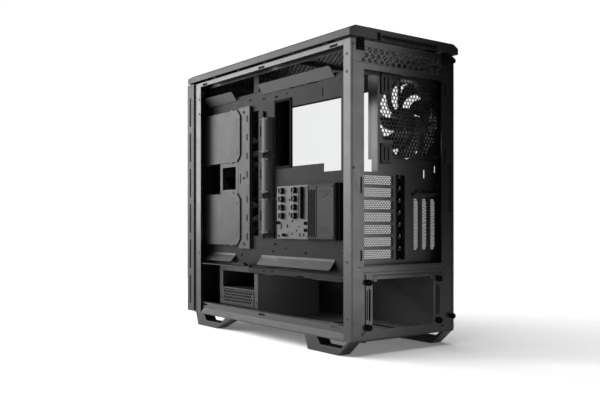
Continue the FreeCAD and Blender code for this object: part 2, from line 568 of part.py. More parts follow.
ring = block("psu_right - psu_border", "psu_width + 2 * psu_border", "0 - psu_thick", "psu_thick",
             "psu_bottom - psu_border / 3", "psu_height + 2 * psu_border / 3")
ring_holes = [block("psu_right", "psu_width", "0 - 2 * psu_thick", "3 * psu_thick", "psu_bottom",
                    "psu_height")]
for at in ("psu_right - psu_border / 2", "psu_right + psu_width + psu_border / 2"):
    ring_holes.append(block(f"{at} - psu_slot / 2", "psu_slot", "0 - 2 * psu_thick",
                            "3 * psu_thick", "psu_bottom + psu_slot_margin",
                            "psu_height - 2 * psu_slot_margin"))
finish("psu_bracket", cut(ring, ring_holes))
knobs = [rod("y", at, "0 - psu_thick", level, "psu_knob", "psu_knob_length")
         for at in ("psu_right - psu_border + psu_knob", "psu_right + psu_width + psu_border - psu_knob")
         for level in ("psu_bottom + psu_knob", "psu_bottom + psu_height - psu_knob")]
finish("psu_bracket_screws", group(knobs))

# ---- fans -----------------------------------------------------------------------------------


def fan(name, u, r, z):
    """A square fan: its frame with the motor seat, and the rotor that turns in the seat."""
    shell = block(f"{u} - fan_size / 2", "fan_size", r, "fan_depth", f"{z} - fan_size / 2", "fan_size")
    tunnel = rod("y", u, f"{r} + fan_depth + metal", z, "fan_bore", "fan_depth + 2 * metal")
    seat = rod("y", u, f"{r} + fan_depth", z, "fan_seat", "fan_spoke / 2")
    long_spoke = block(f"{u} - fan_bore - metal", "2 * fan_bore + 2 * metal",
                       f"{r} + fan_depth - fan_spoke / 2", "fan_spoke / 2",
                       f"{z} - fan_spoke / 2", "fan_spoke")
    tall_spoke = block(f"{u} - fan_spoke / 2", "fan_spoke", f"{r} + fan_depth - fan_spoke / 2",
                       "fan_spoke / 2", f"{z} - fan_bore - metal", "2 * fan_bore + 2 * metal")
    bore = rod("y", u, f"{r} + fan_depth + metal", z, "fan_shaft + shaft_clearance",
               "fan_spoke + 2 * metal")
    frame = fuse([cut(shell, [tunnel]), seat, long_spoke, tall_spoke])
    finish(f"{name}_frame", cut(frame, [bore]))
    hub = rod("y", u, f"{r} + fan_depth - fan_spoke / 2 - metal / 2", z, "fan_hub",
              "fan_depth - fan_spoke - metal / 2")
    shaft = rod("y", u, f"{r} + fan_depth - metal / 4", z, "fan_shaft", "fan_spoke")
    blades = [blade(u, r, z, turn * 360 / BLADES) for turn in range(BLADES)]
    finish(f"{name}_rotor", fuse([hub, shaft] + blades))


def blade(u, r, z, angle):
    """One pitched blade, reaching from the hub to the tip."""
    paddle = doc.addObject("Part::Box", "blade")
    paddle.setExpression("Length", bound("fan_tip - fan_hub + metal"))
    paddle.setExpression("Width", "Dims.blade_chord")
    paddle.setExpression("Height", "Dims.blade_thick")
    pitch = FreeCAD.Rotation(FreeCAD.Vector(1, 0, 0), SIZES["blade_pitch"])
    about = FreeCAD.Rotation(FreeCAD.Vector(0, 1, 0), angle)
    centred = FreeCAD.Vector(SIZES["fan_hub"] - SIZES["metal"], -SIZES["blade_chord"] / 2,
                             -SIZES["blade_thick"] / 2)
    offset = about.multiply(pitch).multVec(centred)
    paddle.Placement.Rotation = about.multiply(pitch)
    paddle.setExpression("Placement.Base.x", bound(f"{HALF} - ({u})") + f" + ({offset.x})")
    paddle.setExpression("Placement.Base.y",
                         bound(f"{REAR} - ({r}) - fan_depth / 2") + f" + ({offset.y})")
    paddle.setExpression("Placement.Base.z", bound(z) + f" + ({offset.z})")
    return paddle


fan("rear_fan", "rear_fan_u", BEHIND, "rear_fan_z")
FRONT_FAN_R = f"{FRONT} - fan_depth"
fan("lower_front_fan", HALF, FRONT_FAN_R, "front_fan_low")
fan("upper_front_fan", HALF, FRONT_FAN_R, "front_fan_low + fan_size + front_fan_gap")

# ---- top shelf, cover, strip ----------------------------------------------------------------

SHELF_Z = "chassis_top - 2 * metal"
shelf = block("shelf_edge", "chassis_width - 2 * shelf_edge", "metal", "shelf_far - metal",
              SHELF_Z, "metal")
shelf_holes = [block("(chassis_width - shelf_hole_width) / 2", "shelf_hole_width",
                     f"shelf_hole_near + {step} * shelf_hole_pitch", "shelf_hole_length",
                     f"{SHELF_Z} - metal", WIDE) for step in range(2)]
shelf_holes.append(block("(chassis_width - shelf_hole_width) / 2", "shelf_hole_width",
                         "shelf_hole_edge", "shelf_hole_length", f"{SHELF_Z} - metal", WIDE))
finish("top_shelf", cut(shelf, shelf_holes))

COVER_SIDE = "chassis_width / 2 + cover_overhang"
COVER_TOP = "cover_bottom + cover_height"
section = [(f"0 - ({COVER_SIDE})", "cover_bottom"), (COVER_SIDE, "cover_bottom"),
           (COVER_SIDE, f"{COVER_TOP} - cover_bevel_drop"),
           (f"{COVER_SIDE} - cover_bevel_run", COVER_TOP),
           (f"0 - ({COVER_SIDE} - cover_bevel_run)", COVER_TOP),
           (f"0 - ({COVER_SIDE})", f"{COVER_TOP} - cover_bevel_drop")]
COVER_RUN = "cover_front_r + cover_rear_reach"
cover_block = profile_body("XZ_Plane", section, COVER_RUN, "cover_section")
cover_block.setExpression("Placement.Base.y", bound(f"{REAR} + cover_rear_reach"))
SKIRT_U = "0 - cover_overhang + cover_wall"
hollow = [
    block(SKIRT_U, f"chassis_width - 2 * ({SKIRT_U})", "cover_wall - cover_rear_reach",
          f"{COVER_RUN} - 2 * cover_wall", "cover_bottom - metal",
          "cover_height - cover_bevel_drop - cover_wall + metal"),
    block(f"{SKIRT_U} + cover_step", f"chassis_width - 2 * ({SKIRT_U} + cover_step)",
          "cover_wall - cover_rear_reach", f"{COVER_RUN} - 2 * cover_wall",
          "cover_bottom - metal", "cover_height - cover_wall + metal"),
]
strip_opening = block("strip_u - cover_gap", "strip_span + 2 * cover_gap", "strip_r - cover_gap",
                      "strip_run + 2 * cover_gap", "cover_bottom", "2 * cover_height")
pegs = [rod("z", mirrored_u(side, "cover_peg_edge", "0"), at, "chassis_top", "cover_peg",
            f"{COVER_TOP} - cover_bevel_drop - cover_wall + metal - chassis_top")
        for side in ("right", "left") for at in ("cover_peg_inset", "cover_front_r - cover_peg_inset")]
finish("top_cover", fuse([cut(cover_block, [fuse(hollow), strip_opening])] + pegs))

strip = block("strip_u", "strip_span", "strip_r", "strip_run", "chassis_top", "strip_top - chassis_top")
STRIP_MID = "strip_r + strip_run / 2"
WELL = "(button_length + button_stand)"
strip_holes = [rod("z", at, STRIP_MID, f"strip_top - {WELL}", f"{radius} + button_gap",
                   f"{WELL} + metal")
               for at, radius in (("power_u", "power_radius"), ("reset_u", "reset_radius"))]
for port in range(2):
    at = f"usb_u + {port} * usb_pitch"
    mouth = block(at, "usb_width", f"{STRIP_MID} - usb_height / 2", "usb_height",
                  "strip_top - usb_depth", "usb_depth + metal")
    tongue = block(f"{at} + metal", "usb_width - 2 * metal", f"{STRIP_MID} - usb_tongue / 2",
                   "usb_tongue", "strip_top - usb_depth - metal", "usb_depth")
    strip_holes.append(cut(mouth, [tongue]))
groove = block("slider_u", "slider_slot", f"{STRIP_MID} - slider_width / 2 - button_gap",
               "slider_width + 2 * button_gap", f"strip_top - {WELL}", f"{WELL} + metal")
strip_holes.append(groove)
finish("io_strip", cut(strip, strip_holes))
BUTTON_LOW = "strip_top + button_stand - button_length"
finish("power_button", rod("z", "power_u", STRIP_MID, BUTTON_LOW, "power_radius", "button_length"))
finish("reset_button", rod("z", "reset_u", STRIP_MID, BUTTON_LOW, "reset_radius", "button_length"))
finish("fan_speed_slider", block("slider_u + button_gap", "slider_length",
                                 f"{STRIP_MID} - slider_width / 2", "slider_width",
                                 BUTTON_LOW, "button_length"))

# ---- front panel, glass, filters, screws ----------------------------------------------------

FRONT_LOW_U = "0 - front_overhang"
FRONT_WIDE = "chassis_width + 2 * front_overhang"
door = block(FRONT_LOW_U, FRONT_WIDE, DEPTH, "front_depth", "front_bottom", "front_top - front_bottom")
door_hollow = block(f"{FRONT_LOW_U} + front_wall", f"{FRONT_WIDE} - 2 * front_wall",
                    f"{DEPTH} - metal", "front_depth - front_wall + metal",
                    "front_bottom + front_wall", "front_top - front_bottom - 2 * front_wall")
vents = []
for side in ("right", "left"):
    for step in range(FRONT_VENTS):
        vent_u = mirrored_u(side, f"{FRONT_LOW_U} - metal", "front_wall + 2 * metal")
        vents.append(block(vent_u, "front_wall + 2 * metal", f"{DEPTH} + front_vent_setback",
                           "front_vent", f"front_bottom + front_vent_rise + {step} * front_vent_pitch",
                           "front_vent_height"))
finish("front_panel", cut(cut(door, [door_hollow]), vents))
FILTER_U = f"{FRONT_LOW_U} + front_wall"
FILTER_WIDE = f"{FRONT_WIDE} - 2 * front_wall"
FILTER_LOW = "front_bottom + front_wall"
FILTER_TALL = "front_top - front_bottom - 2 * front_wall"
finish("front_filter", block(FILTER_U, FILTER_WIDE, f"{DEPTH} + filter_gap", "filter_thick",
                             FILTER_LOW, FILTER_TALL))
finish("floor_filter", block("floor_filter_edge", "chassis_width - 2 * floor_filter_edge",
                             "floor_filter_near", "floor_filter_length",
                             "chassis_bottom - guide_drop + metal + guide_slack", "floor_filter_thick"))
finish("glass_panel", block("chassis_width + glass_gap", "glass_thick", "glass_setback",
                            "chassis_depth - glass_setback - glass_gap", "glass_bottom",
                            "glass_top - glass_bottom"))
thumbs = [fuse([rod("y", "chassis_width - side_screw_edge", 0, level, "thumb_radius", "thumb_reach"),
                rod("y", "chassis_width - side_screw_edge", "metal", level, "screw_hole", "2 * metal")])
          for level in ("side_screw_top", "side_screw_bottom")]
finish("panel_thumbscrews", group(thumbs))
clips = [block(mirrored_u(side, "clip_width + cover_step / 4", "clip_width"), "clip_width",
               "0 - clip_depth", "clip_depth", "side_screw_top - clip_height / 2", "clip_height")
         for side in ("right", "left")]
finish("cover_clips", group(clips))

# ---- check and write ------------------------------------------------------------------------

doc.recompute()
for thing in doc.Objects:
    if "Invalid" in thing.State or "Error" in thing.State:
        raise RuntimeError(f"{thing.Name} ({thing.Label}) failed: {thing.State}")
os.makedirs("parts", exist_ok=True)
for piece in finished:
    if piece.Shape.isNull() or not piece.Shape.isValid():
        raise RuntimeError(f"{piece.Label} has no valid shape")
    piece.Shape.exportStep(f"parts/{piece.Label}.step")
    print(piece.Label, len(piece.Shape.Solids), "solids", round(piece.Shape.Volume), "mm3")
print(len(finished), "sub-parts")
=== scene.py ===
# %% [markdown]
# # A desktop computer tower, seen from the rear with its right side open
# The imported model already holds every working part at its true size: sheets, trays, fans, feet, panels.
# This script dresses it. It lights it, gives each part a finish, and swaps the plain sheets that show
# most for detailed ones, which ride on the same bodies. All places come from the boxes of those parts.

# %% Load the frame
import json
from math import cos, pi, radians, sin

import bmesh
import bpy
from mathutils import Matrix, Vector

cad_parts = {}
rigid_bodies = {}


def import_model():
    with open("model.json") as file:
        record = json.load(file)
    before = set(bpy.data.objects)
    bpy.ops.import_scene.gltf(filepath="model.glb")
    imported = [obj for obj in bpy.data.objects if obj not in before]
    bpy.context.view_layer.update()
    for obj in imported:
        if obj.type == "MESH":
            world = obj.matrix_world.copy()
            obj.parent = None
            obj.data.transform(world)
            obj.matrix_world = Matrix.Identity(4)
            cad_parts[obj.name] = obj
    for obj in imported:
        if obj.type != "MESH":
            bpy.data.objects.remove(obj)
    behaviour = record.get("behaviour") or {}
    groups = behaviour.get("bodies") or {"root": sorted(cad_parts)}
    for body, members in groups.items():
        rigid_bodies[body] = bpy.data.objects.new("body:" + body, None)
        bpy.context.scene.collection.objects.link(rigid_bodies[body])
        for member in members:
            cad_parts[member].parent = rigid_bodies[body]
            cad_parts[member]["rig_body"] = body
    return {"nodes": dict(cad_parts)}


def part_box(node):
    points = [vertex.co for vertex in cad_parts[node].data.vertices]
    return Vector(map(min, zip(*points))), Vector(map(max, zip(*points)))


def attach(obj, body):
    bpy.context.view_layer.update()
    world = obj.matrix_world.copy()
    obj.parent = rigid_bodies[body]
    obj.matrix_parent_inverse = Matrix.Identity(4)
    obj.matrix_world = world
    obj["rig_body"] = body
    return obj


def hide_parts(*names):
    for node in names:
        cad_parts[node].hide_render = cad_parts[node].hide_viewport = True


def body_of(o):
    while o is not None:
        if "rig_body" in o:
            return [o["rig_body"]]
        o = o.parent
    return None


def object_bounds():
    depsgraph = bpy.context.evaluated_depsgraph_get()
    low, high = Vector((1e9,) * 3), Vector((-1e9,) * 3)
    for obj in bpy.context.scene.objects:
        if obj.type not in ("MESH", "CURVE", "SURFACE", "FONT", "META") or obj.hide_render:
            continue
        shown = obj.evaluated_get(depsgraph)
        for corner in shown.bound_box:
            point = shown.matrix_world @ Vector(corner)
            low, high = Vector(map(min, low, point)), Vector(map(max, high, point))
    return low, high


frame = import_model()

CAD_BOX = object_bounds()
print("CAD box", [[round(value, 4) for value in corner] for corner in CAD_BOX])

# %% [markdown]
# ## Measuring from two faces
# A case maker measures from the open right side and from the rear sheet. `at` turns such a pair of
# distances and a height into a point of the frame, so the rest of the script reads like a drawing.

# %% A point measured from the right side, the rear sheet and the floor
MM = 0.001
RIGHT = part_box("rear_frame")[1].x
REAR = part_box("rear_frame")[1].y


def at(inward, forward, height):
    """A point, in metres: millimetres in from the right side, forward from the rear, and up."""
    return Vector((RIGHT - inward * MM, REAR - forward * MM, height * MM))


def span(node):
    """A node's box as (inward, forward, height) ranges in millimetres."""
    low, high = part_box(node)
    return (
        ((RIGHT - high.x) / MM, (RIGHT - low.x) / MM),
        ((REAR - high.y) / MM, (REAR - low.y) / MM),
        (low.z / MM, high.z / MM),
    )


print("rear sheet spans", span("rear_frame"))


# %% From a drawn shape to an object
def stand(name, shape, finish):
    """Put a drawn shape into the scene as an object with one finish."""
    mesh = bpy.data.meshes.new(name)
    shape.to_mesh(mesh)
    shape.free()
    mesh.materials.append(finish)
    made = bpy.data.objects.new(name, mesh)
    bpy.context.collection.objects.link(made)
    return made


# %% [markdown]
# ## The camera
# The tower is seen from behind its open side, a little below its middle. A level camera keeps the
# posts upright; a small vertical shift moves the picture up without tilting them.

# %% Set the camera
camera = bpy.data.objects.new("camera", bpy.data.cameras.new("camera"))
bpy.context.collection.objects.link(camera)
camera.location = (0.8837, 1.1744, 0.2135)
camera.rotation_euler = (radians(90), 0, radians(143.74))
camera.data.lens = 45.42
camera.data.sensor_width = 36
camera.data.shift_y = 0.0375
camera.data.clip_start = 0.01
bpy.context.scene.camera = camera
print("camera at", tuple(camera.location))

# %% [markdown]
# ## Floor and light
# Black products are lit by what they mirror. A wide overhead light whitens the floor, and a soft box
# in front of the open side gives its steel a sheen. A narrow strip behind the rear, aimed at the near
# post only, lets the rear fade to black away from it. A small panel lifts the power-supply chamber.
# The world is dim for everything but the camera, so the black stays black against a white room.

# %% Lay the floor
PAPER = {
    "Base Color": (0.86, 0.86, 0.86, 1), "Roughness": 0.9, "Specular IOR Level": 0.1,
    "Emission Color": (1, 1, 1, 1), "Emission Strength": 0.15,
}
FLOOR_REACH = 1.4
paper = bpy.data.materials.new("white_paper")
paper.use_nodes = True
for socket, value in PAPER.items():
    paper.node_tree.nodes["Principled BSDF"].inputs[socket].default_value = value
floor_shape = bmesh.new()
bmesh.ops.create_grid(floor_shape, x_segments=1, y_segments=1, size=FLOOR_REACH)
floor = stand("studio_floor", floor_shape, paper)
print("floor laid")


# %% Hang the lights
def hang_light(name, place, target, width, height, power):
    """A soft box at a place, facing a target."""
    lamp = bpy.data.lights.new(name, "AREA")
    lamp.shape = "RECTANGLE"
    lamp.size, lamp.size_y, lamp.energy = width, height, power
    holder = bpy.data.objects.new(name, lamp)
    holder.location = place
    holder.rotation_euler = (Vector(target) - Vector(place)).to_track_quat("-Z", "Y").to_euler()
    bpy.context.collection.objects.link(holder)
    return holder


sky = bpy.data.lights.new("overhead", "SUN")
sky.energy, sky.angle = 3.0, radians(80)
overhead = bpy.data.objects.new("overhead", sky)
overhead.rotation_euler = (radians(14), radians(16), 0)
bpy.context.collection.objects.link(overhead)
MIDDLE = (CAD_BOX[0] + CAD_BOX[1]) / 2
hang_light("side_box", (1.5, -1.7, 0.9), MIDDLE, width=2.0, height=1.6, power=76)
corner_strip = hang_light("corner_strip", (-0.17, 0.60, 0.30), (0.11, 0.26, 0.29),
                          width=0.07, height=0.70, power=0.2)
corner_strip.visible_camera = False
corner_strip.data.spread = radians(56)
chamber_fill = hang_light("chamber_fill", (0.02, 0.10, 0.112), (0.02, 0.06, 0.03),
                          width=0.16, height=0.30, power=0.45)
chamber_fill.visible_camera = False
print("lights hung round", tuple(MIDDLE))

# %% Light the room: white to the camera, dim to the object
world = bpy.data.worlds.new("room")
bpy.context.scene.world = world
world.use_nodes = True
sky_nodes = world.node_tree
room = sky_nodes.nodes["Background"]
room.inputs["Color"].default_value = (1, 1, 1, 1)
path = sky_nodes.nodes.new("ShaderNodeLightPath")
level = sky_nodes.nodes.new("ShaderNodeMapRange")
level.inputs["To Min"].default_value = 0.03
level.inputs["To Max"].default_value = 1.05
sky_nodes.links.new(path.outputs["Is Camera Ray"], level.inputs["Value"])
sky_nodes.links.new(level.outputs["Result"], room.inputs["Strength"])
bpy.context.scene.view_settings.view_transform = "Standard"
print("world lit")

# %% [markdown]
# ## Finishes
# Nearly everything here is black, so the finishes differ in how they scatter light, not in colour. A
# shader is arithmetic on patterns. `Signal` lets that be written as plain expressions, and `Finish`
# holds one material with its nodes.


# %% A shader value that takes part in sums
class Signal:
    """A node's output, with arithmetic that adds Math nodes."""

    def __init__(self, finish, output):
        self.finish, self.output = finish, output

    def math(self, operation, first, second):
        return self.finish.node("ShaderNodeMath", {"operation": operation}, {0: first, 1: second})

    def __add__(self, other):
        return self.math("ADD", self, other)

    def __radd__(self, other):
        return self.math("ADD", other, self)

    def __sub__(self, other):
        return self.math("SUBTRACT", self, other)

    def __rsub__(self, other):
        return self.math("SUBTRACT", other, self)

    def __mul__(self, other):
        return self.math("MULTIPLY", self, other)

    def __rmul__(self, other):
        return self.math("MULTIPLY", other, self)

    def above(self, other):
        return self.math("GREATER_THAN", self, other)


# %% A material with its nodes
class Finish:
    """A material being mixed: its shader, its patterns and its place on the object."""

    def __init__(self, name):
        self.name = name
        self.material = bpy.data.materials.new(name)
        self.material.use_nodes = True
        self.tree = self.material.node_tree
        self.shader = self.tree.nodes["Principled BSDF"]
        self.place = self.node("ShaderNodeTexCoord", output="Object")

    def feed(self, socket, value):
        if isinstance(value, Signal):
            self.tree.links.new(value.output, socket)
        else:
            socket.default_value = value

    def node(self, kind, settings=None, inputs=None, output=0):
        made = self.tree.nodes.new(kind)
        for key, value in (settings or {}).items():
            setattr(made, key, value)
        for key, value in (inputs or {}).items():
            self.feed(made.inputs[key], value)
        return Signal(self, made.outputs[output])

    def noise(self, scale, detail):
        """Cloudy noise, scale in spots per metre."""
        return self.node("ShaderNodeTexNoise", None,
                         {"Vector": self.place, "Scale": scale, "Detail": detail}, "Fac")

    def blend(self, amount, first, second):
        """A colour between two, by an amount."""
        return self.node("ShaderNodeMix", {"data_type": "RGBA"},
                         {"Factor": amount, 6: (*first, 1), 7: (*second, 1)}, 2)

    def keep(self):
        """List the material under its given name, because Blender may number its own."""
        FINISHES[self.name] = self.material
        return self.material

    def set(self, **sockets):
        for name, value in sockets.items():
            self.feed(self.shader.inputs[name.replace("_", " ")], value)

    def emboss(self, height, distance):
        """Small relief, in metres, from a pattern."""
        self.set(Normal=self.node("ShaderNodeBump", None, {
            "Height": height, "Distance": distance, "Strength": 1.0}, "Normal"))


FINISHES = {}

# %% [markdown]
# ### Powder-coated steel
# The sheets are dipped in dry paint that melts into a skin with a faint orange peel. Up close it has
# fine pimples; from afar it has slow changes of sheen, a little dust on top faces and handling marks.
# A plain black shader would look like a hole, so each of those gets its own pattern.


# %% Powder coat
def powder_coat(name, dark, light, sheen, mirror=0.5):
    """Black powder paint between two tones, with a mean roughness and its strength of mirroring."""
    finish = Finish(name)
    cloud = finish.noise(7, 3)
    handling = finish.noise(45, 6)
    pimples = finish.noise(1300, 2)
    upward = finish.node("ShaderNodeSeparateXYZ", None,
                         {0: finish.node("ShaderNodeNewGeometry", output="Normal")}, "Z")
    dust = upward.above(0.8) * finish.noise(900, 4) * 0.25
    coat = finish.blend(cloud * 0.7 + pimples * 0.3, dark, light)
    dusted = finish.node("ShaderNodeMix", {"data_type": "RGBA"},
                         {"Factor": dust, 6: coat, 7: (0.16, 0.16, 0.155, 1)}, 2)
    finish.set(Base_Color=dusted, Specular_IOR_Level=mirror,
               Roughness=sheen + 0.16 * (handling - 0.5) + 0.10 * (cloud - 0.5))
    finish.emboss(pimples, 0.00012)
    return finish.keep()


STEEL = powder_coat("black_steel", (0.0055, 0.0055, 0.006), (0.0105, 0.0105, 0.011), 0.34, 0.42)
# tray_steel is the same black coat made darker and duller: painted shade for the recessed tray, slat and
# shroud edge.
SHADED_TRAY_STEEL = powder_coat("tray_steel", (0.005, 0.005, 0.0053), (0.009, 0.009, 0.0094), 0.50, 0.09)
# drive_steel is the same black coat made lighter: painted light on the drive trays, bracket, slot covers,
# caddy face, lower shelves and dim inner walls.
PAINTED_LIT_STEEL = powder_coat("drive_steel", (0.0115, 0.0115, 0.012), (0.018, 0.018, 0.0188), 0.44, 0.24)
# shelf_steel is the same black coat made several times lighter: a painted highlight on the upper shelves.
PAINTED_HIGHLIGHT_STEEL = powder_coat("shelf_steel", (0.030, 0.030, 0.031), (0.042, 0.042, 0.043), 0.40, 0.5)
print("powder coats:", list(FINISHES))

# %% [markdown]
# ### Moulded plastic, rubber and filter cloth
# Moulded parts keep the spark-eroded grain of their mould: tiny round dimples, flat sheen. Fans are
# moulded smoother, so they shine more. The dust filters are woven, which two crossed waves give.


# %% Moulded plastics
def moulded(name, tone, sheen, grain, depth, mirror=0.3):
    """Plastic with a grained skin: grain in dimples per metre, depth in metres."""
    finish = Finish(name)
    dimples = finish.node("ShaderNodeTexVoronoi", {"feature": "SMOOTH_F1"},
                          {"Vector": finish.place, "Scale": grain}, "Distance")
    flow = finish.noise(16, 4)
    lift = tuple(1.7 * part for part in tone)
    finish.set(Base_Color=finish.blend(flow, tone, lift),
               Roughness=sheen + 0.14 * (flow - 0.5) + 0.08 * dimples)
    finish.set(Specular_IOR_Level=mirror)
    finish.emboss(dimples, depth)
    return finish.keep()


LID = moulded("lid_plastic", (0.005, 0.005, 0.0053), 0.58, 1500, 0.0002)
PLASTIC = moulded("black_plastic", (0.0085, 0.0085, 0.009), 0.46, 2400, 0.00008)
moulded("foot_plastic", (0.008, 0.008, 0.0085), 0.40, 1900, 0.0001)
moulded("fan_plastic", (0.007, 0.007, 0.0075), 0.30, 900, 0.00004)
SOCKET = moulded("socket_plastic", (0.005, 0.005, 0.0055), 0.22, 600, 0.00002)
RUBBER = moulded("rubber_knob", (0.0025, 0.0025, 0.0026), 0.70, 3000, 0.0001, 0.06)
GUIDE = moulded("guide_plastic", (0.018, 0.018, 0.0186), 0.50, 1800, 0.00008, 0.5)
print("plastics:", len(FINISHES))


# %% Woven filter cloth
def woven(name, pitch):
    """Fine nylon mesh with threads a pitch apart, in metres."""
    finish = Finish(name)
    across, deep, tall = (
        finish.node("ShaderNodeSeparateXYZ", None, {0: finish.place}, axis) for axis in "XYZ")
    turn = 2 * pi / pitch
    warp = finish.node("ShaderNodeMath", {"operation": "SINE"}, {0: (across + deep) * turn})
    weft = finish.node("ShaderNodeMath", {"operation": "SINE"}, {0: (tall + deep) * turn})
    thread = finish.node("ShaderNodeMath", {"operation": "MAXIMUM"}, {0: warp, 1: weft})
    finish.set(Base_Color=finish.blend(thread * 0.5 + 0.5, (0.004, 0.004, 0.004), (0.035, 0.035, 0.036)),
               Roughness=0.6 - 0.15 * thread)
    finish.emboss(thread, 0.0002)
    return finish.keep()


MESH_CLOTH = woven("filter_mesh", 0.0012)
print("filter cloth ready")

# %% [markdown]
# ### Circuit board, screws and glass
# The fan hub's board is black with faint copper lines under its lacquer. Screws are blackened steel,
# a metal with a rough skin. The glass is clear, tempered and faintly green at its edges; it gets no
# colour from patterns, only a hair of uneven gloss from handling.


# %% Circuit board
def lacquered_board(name):
    finish = Finish(name)
    tracks = finish.node("ShaderNodeTexBrick", {"offset": 0.35}, {
        "Vector": finish.node("ShaderNodeMapping", None,
                              {"Vector": finish.place, "Rotation": (0, radians(90), 0)}),
        "Scale": 70, "Mortar Size": 0.03, "Brick Width": 0.9, "Row Height": 0.18}, "Fac")
    finish.set(Base_Color=finish.blend(tracks, (0.004, 0.005, 0.0045), (0.018, 0.021, 0.018)),
               Roughness=0.42 + 0.1 * finish.noise(60, 3))
    finish.emboss(tracks, 0.00008)
    return finish.keep()


BOARD = lacquered_board("circuit_board")


# %% Blackened screws
def blackened(name):
    finish = Finish(name)
    wear = finish.noise(500, 5)
    finish.set(Base_Color=finish.blend(wear, (0.035, 0.035, 0.038), (0.10, 0.10, 0.105)),
               Metallic=0.9, Roughness=0.30 + 0.2 * wear)
    finish.emboss(finish.noise(2500, 2), 0.00003)
    return finish.keep()


SCREW = blackened("dark_screw")


# %% Clear glass: a thin pane lets light straight through and mirrors a little
def clear_pane(name):
    finish = Finish(name)
    smear = finish.noise(14, 5)
    finish.set(Base_Color=(0.93, 0.955, 0.95, 1), Roughness=0.003 + 0.01 * smear)
    through = finish.node("ShaderNodeBsdfTransparent", None, {0: (0.93, 0.935, 0.935, 1)})
    facing = finish.node("ShaderNodeLayerWeight", None, {"Blend": 0.5}, "Facing")
    gleam = facing.math("POWER", facing, 4.0) * 0.5 + 0.03
    mixed = finish.node("ShaderNodeMixShader", None, {
        0: gleam, 1: through, 2: Signal(finish, finish.shader.outputs[0])})
    finish.tree.links.new(mixed.output, finish.tree.nodes["Material Output"].inputs["Surface"])
    return finish.keep()


clear_pane("clear_glass")
print("finishes:", sorted(FINISHES))

# %% [markdown]
# ## Tools for sheet metal
# Rear parts are drawn on the rear wall, side parts on the side wall, level parts on the floor plan.
# Each plane turns millimetres on a drawing into metres in the frame. The third number is the
# distance out of the rear, in from the side, or up.


# %% Drawing planes
def drawing_plane(across, up):
    """The matrix from a drawing in millimetres to the frame."""
    axes = Matrix((across, up, across.cross(up))).transposed().to_4x4()
    return Matrix.Translation((RIGHT, REAR, 0)) @ axes @ Matrix.Scale(MM, 4)


REAR_WALL = drawing_plane(Vector((-1, 0, 0)), Vector((0, 0, 1)))
SIDE_WALL = drawing_plane(Vector((0, -1, 0)), Vector((0, 0, 1)))
PLAN = drawing_plane(Vector((-1, 0, 0)), Vector((0, -1, 0)))
print("side wall drawing starts at", tuple(round(v, 3) for v in SIDE_WALL.translation))


# %% Turn a drawn shape into a piece that rides on a body
def piece(name, shape, plane, finish, stands_for=(), body="case"):
    """Set a drawn shape in place with a finish, on a body."""
    bmesh.ops.transform(shape, matrix=plane, verts=shape.verts)
    made = stand(name, shape, finish)
    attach(made, body)
    if stands_for:
        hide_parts(*stands_for)
    print(name, "has", len(made.data.polygons), "faces")
    return made


# %% A rounded block between limits
def slab(shape, x, y, z, rounding=0.3):
    """Add a block between (low, high) limits, with soft edges."""
    size = Vector([max(limits) - min(limits) for limits in (x, y, z)])
    middle = Vector([sum(limits) / 2 for limits in (x, y, z)])
    made = bmesh.ops.create_cube(shape, size=1, matrix=Matrix.LocRotScale(middle, None, size))
    edges = {edge for corner in made["verts"] for edge in corner.link_edges}
    if rounding:
        bmesh.ops.bevel(shape, geom=list(edges), offset=min(rounding, min(size) * 0.45), segments=2,
                        profile=0.5, affect="EDGES", material=-1)


# %% A round peg with a dished head
def peg(shape, x, y, z, radius, sides=24, dish=0.45):
    """Add a cylinder along the drawing's depth, from z[0] to its head at z[1]."""
    depth = abs(z[1] - z[0])
    turned = Matrix.Rotation(0 if z[1] > z[0] else pi, 4, "X")
    place = Matrix.Translation((x, y, sum(z) / 2)) @ turned
    made = bmesh.ops.create_cone(shape, cap_ends=True, segments=sides, radius1=radius,
                                 radius2=radius * 0.88, depth=depth, matrix=place)
    faces = {face for corner in made["verts"] for face in corner.link_faces}
    head = min(faces, key=lambda face: abs(face.calc_center_median().z - z[1]))
    if dish:
        bmesh.ops.inset_region(shape, faces=[head], thickness=radius * dish)
        drop = Vector((0, 0, (z[0] - z[1]) * 0.45))
        bmesh.ops.translate(shape, verts=head.verts[:], vec=drop)


# %% A flat face, and all that a shape holds
def flat(shape, x, y, height):
    """Add one rectangle between limits."""
    size = Vector((x[1] - x[0], y[1] - y[0], 1))
    middle = Vector((sum(x) / 2, sum(y) / 2, height))
    bmesh.ops.create_grid(shape, x_segments=1, y_segments=1, size=0.5,
                          matrix=Matrix.LocRotScale(middle, None, size))


def everything(shape):
    """All points, edges and faces of a shape."""
    return shape.verts[:] + shape.edges[:] + shape.faces[:]


# %% A flat sheet with rectangular holes
def punched_sheet(x, y, z, holes, corner=0.8):
    """A sheet with (x limits, y limits) holes whose corners are rounded like a punch's."""
    shape = bmesh.new()
    flat(shape, x, y, z[1])
    for axis in (0, 1):
        normal = Vector((1 - axis, axis, 0))
        for line in sorted({edge for hole in holes for edge in hole[axis]}):
            bmesh.ops.bisect_plane(shape, geom=everything(shape),
                                   plane_co=normal * line, plane_no=normal)
    gone = [face for face in shape.faces if any(
        hole[0][0] < face.calc_center_median().x < hole[0][1]
        and hole[1][0] < face.calc_center_median().y < hole[1][1] for hole in holes)]
    bmesh.ops.delete(shape, geom=gone, context="FACES")
    if corner:
        turns = [v for v in shape.verts if len([e for e in v.link_edges if e.is_boundary]) == 2
                 and len(v.link_faces) in (1, 3)]
        bmesh.ops.bevel(shape, geom=turns, offset=corner, segments=3, profile=0.5,
                        affect="VERTICES", material=-1)
    bmesh.ops.solidify(shape, geom=shape.faces[:], thickness=z[1] - z[0])
    return shape


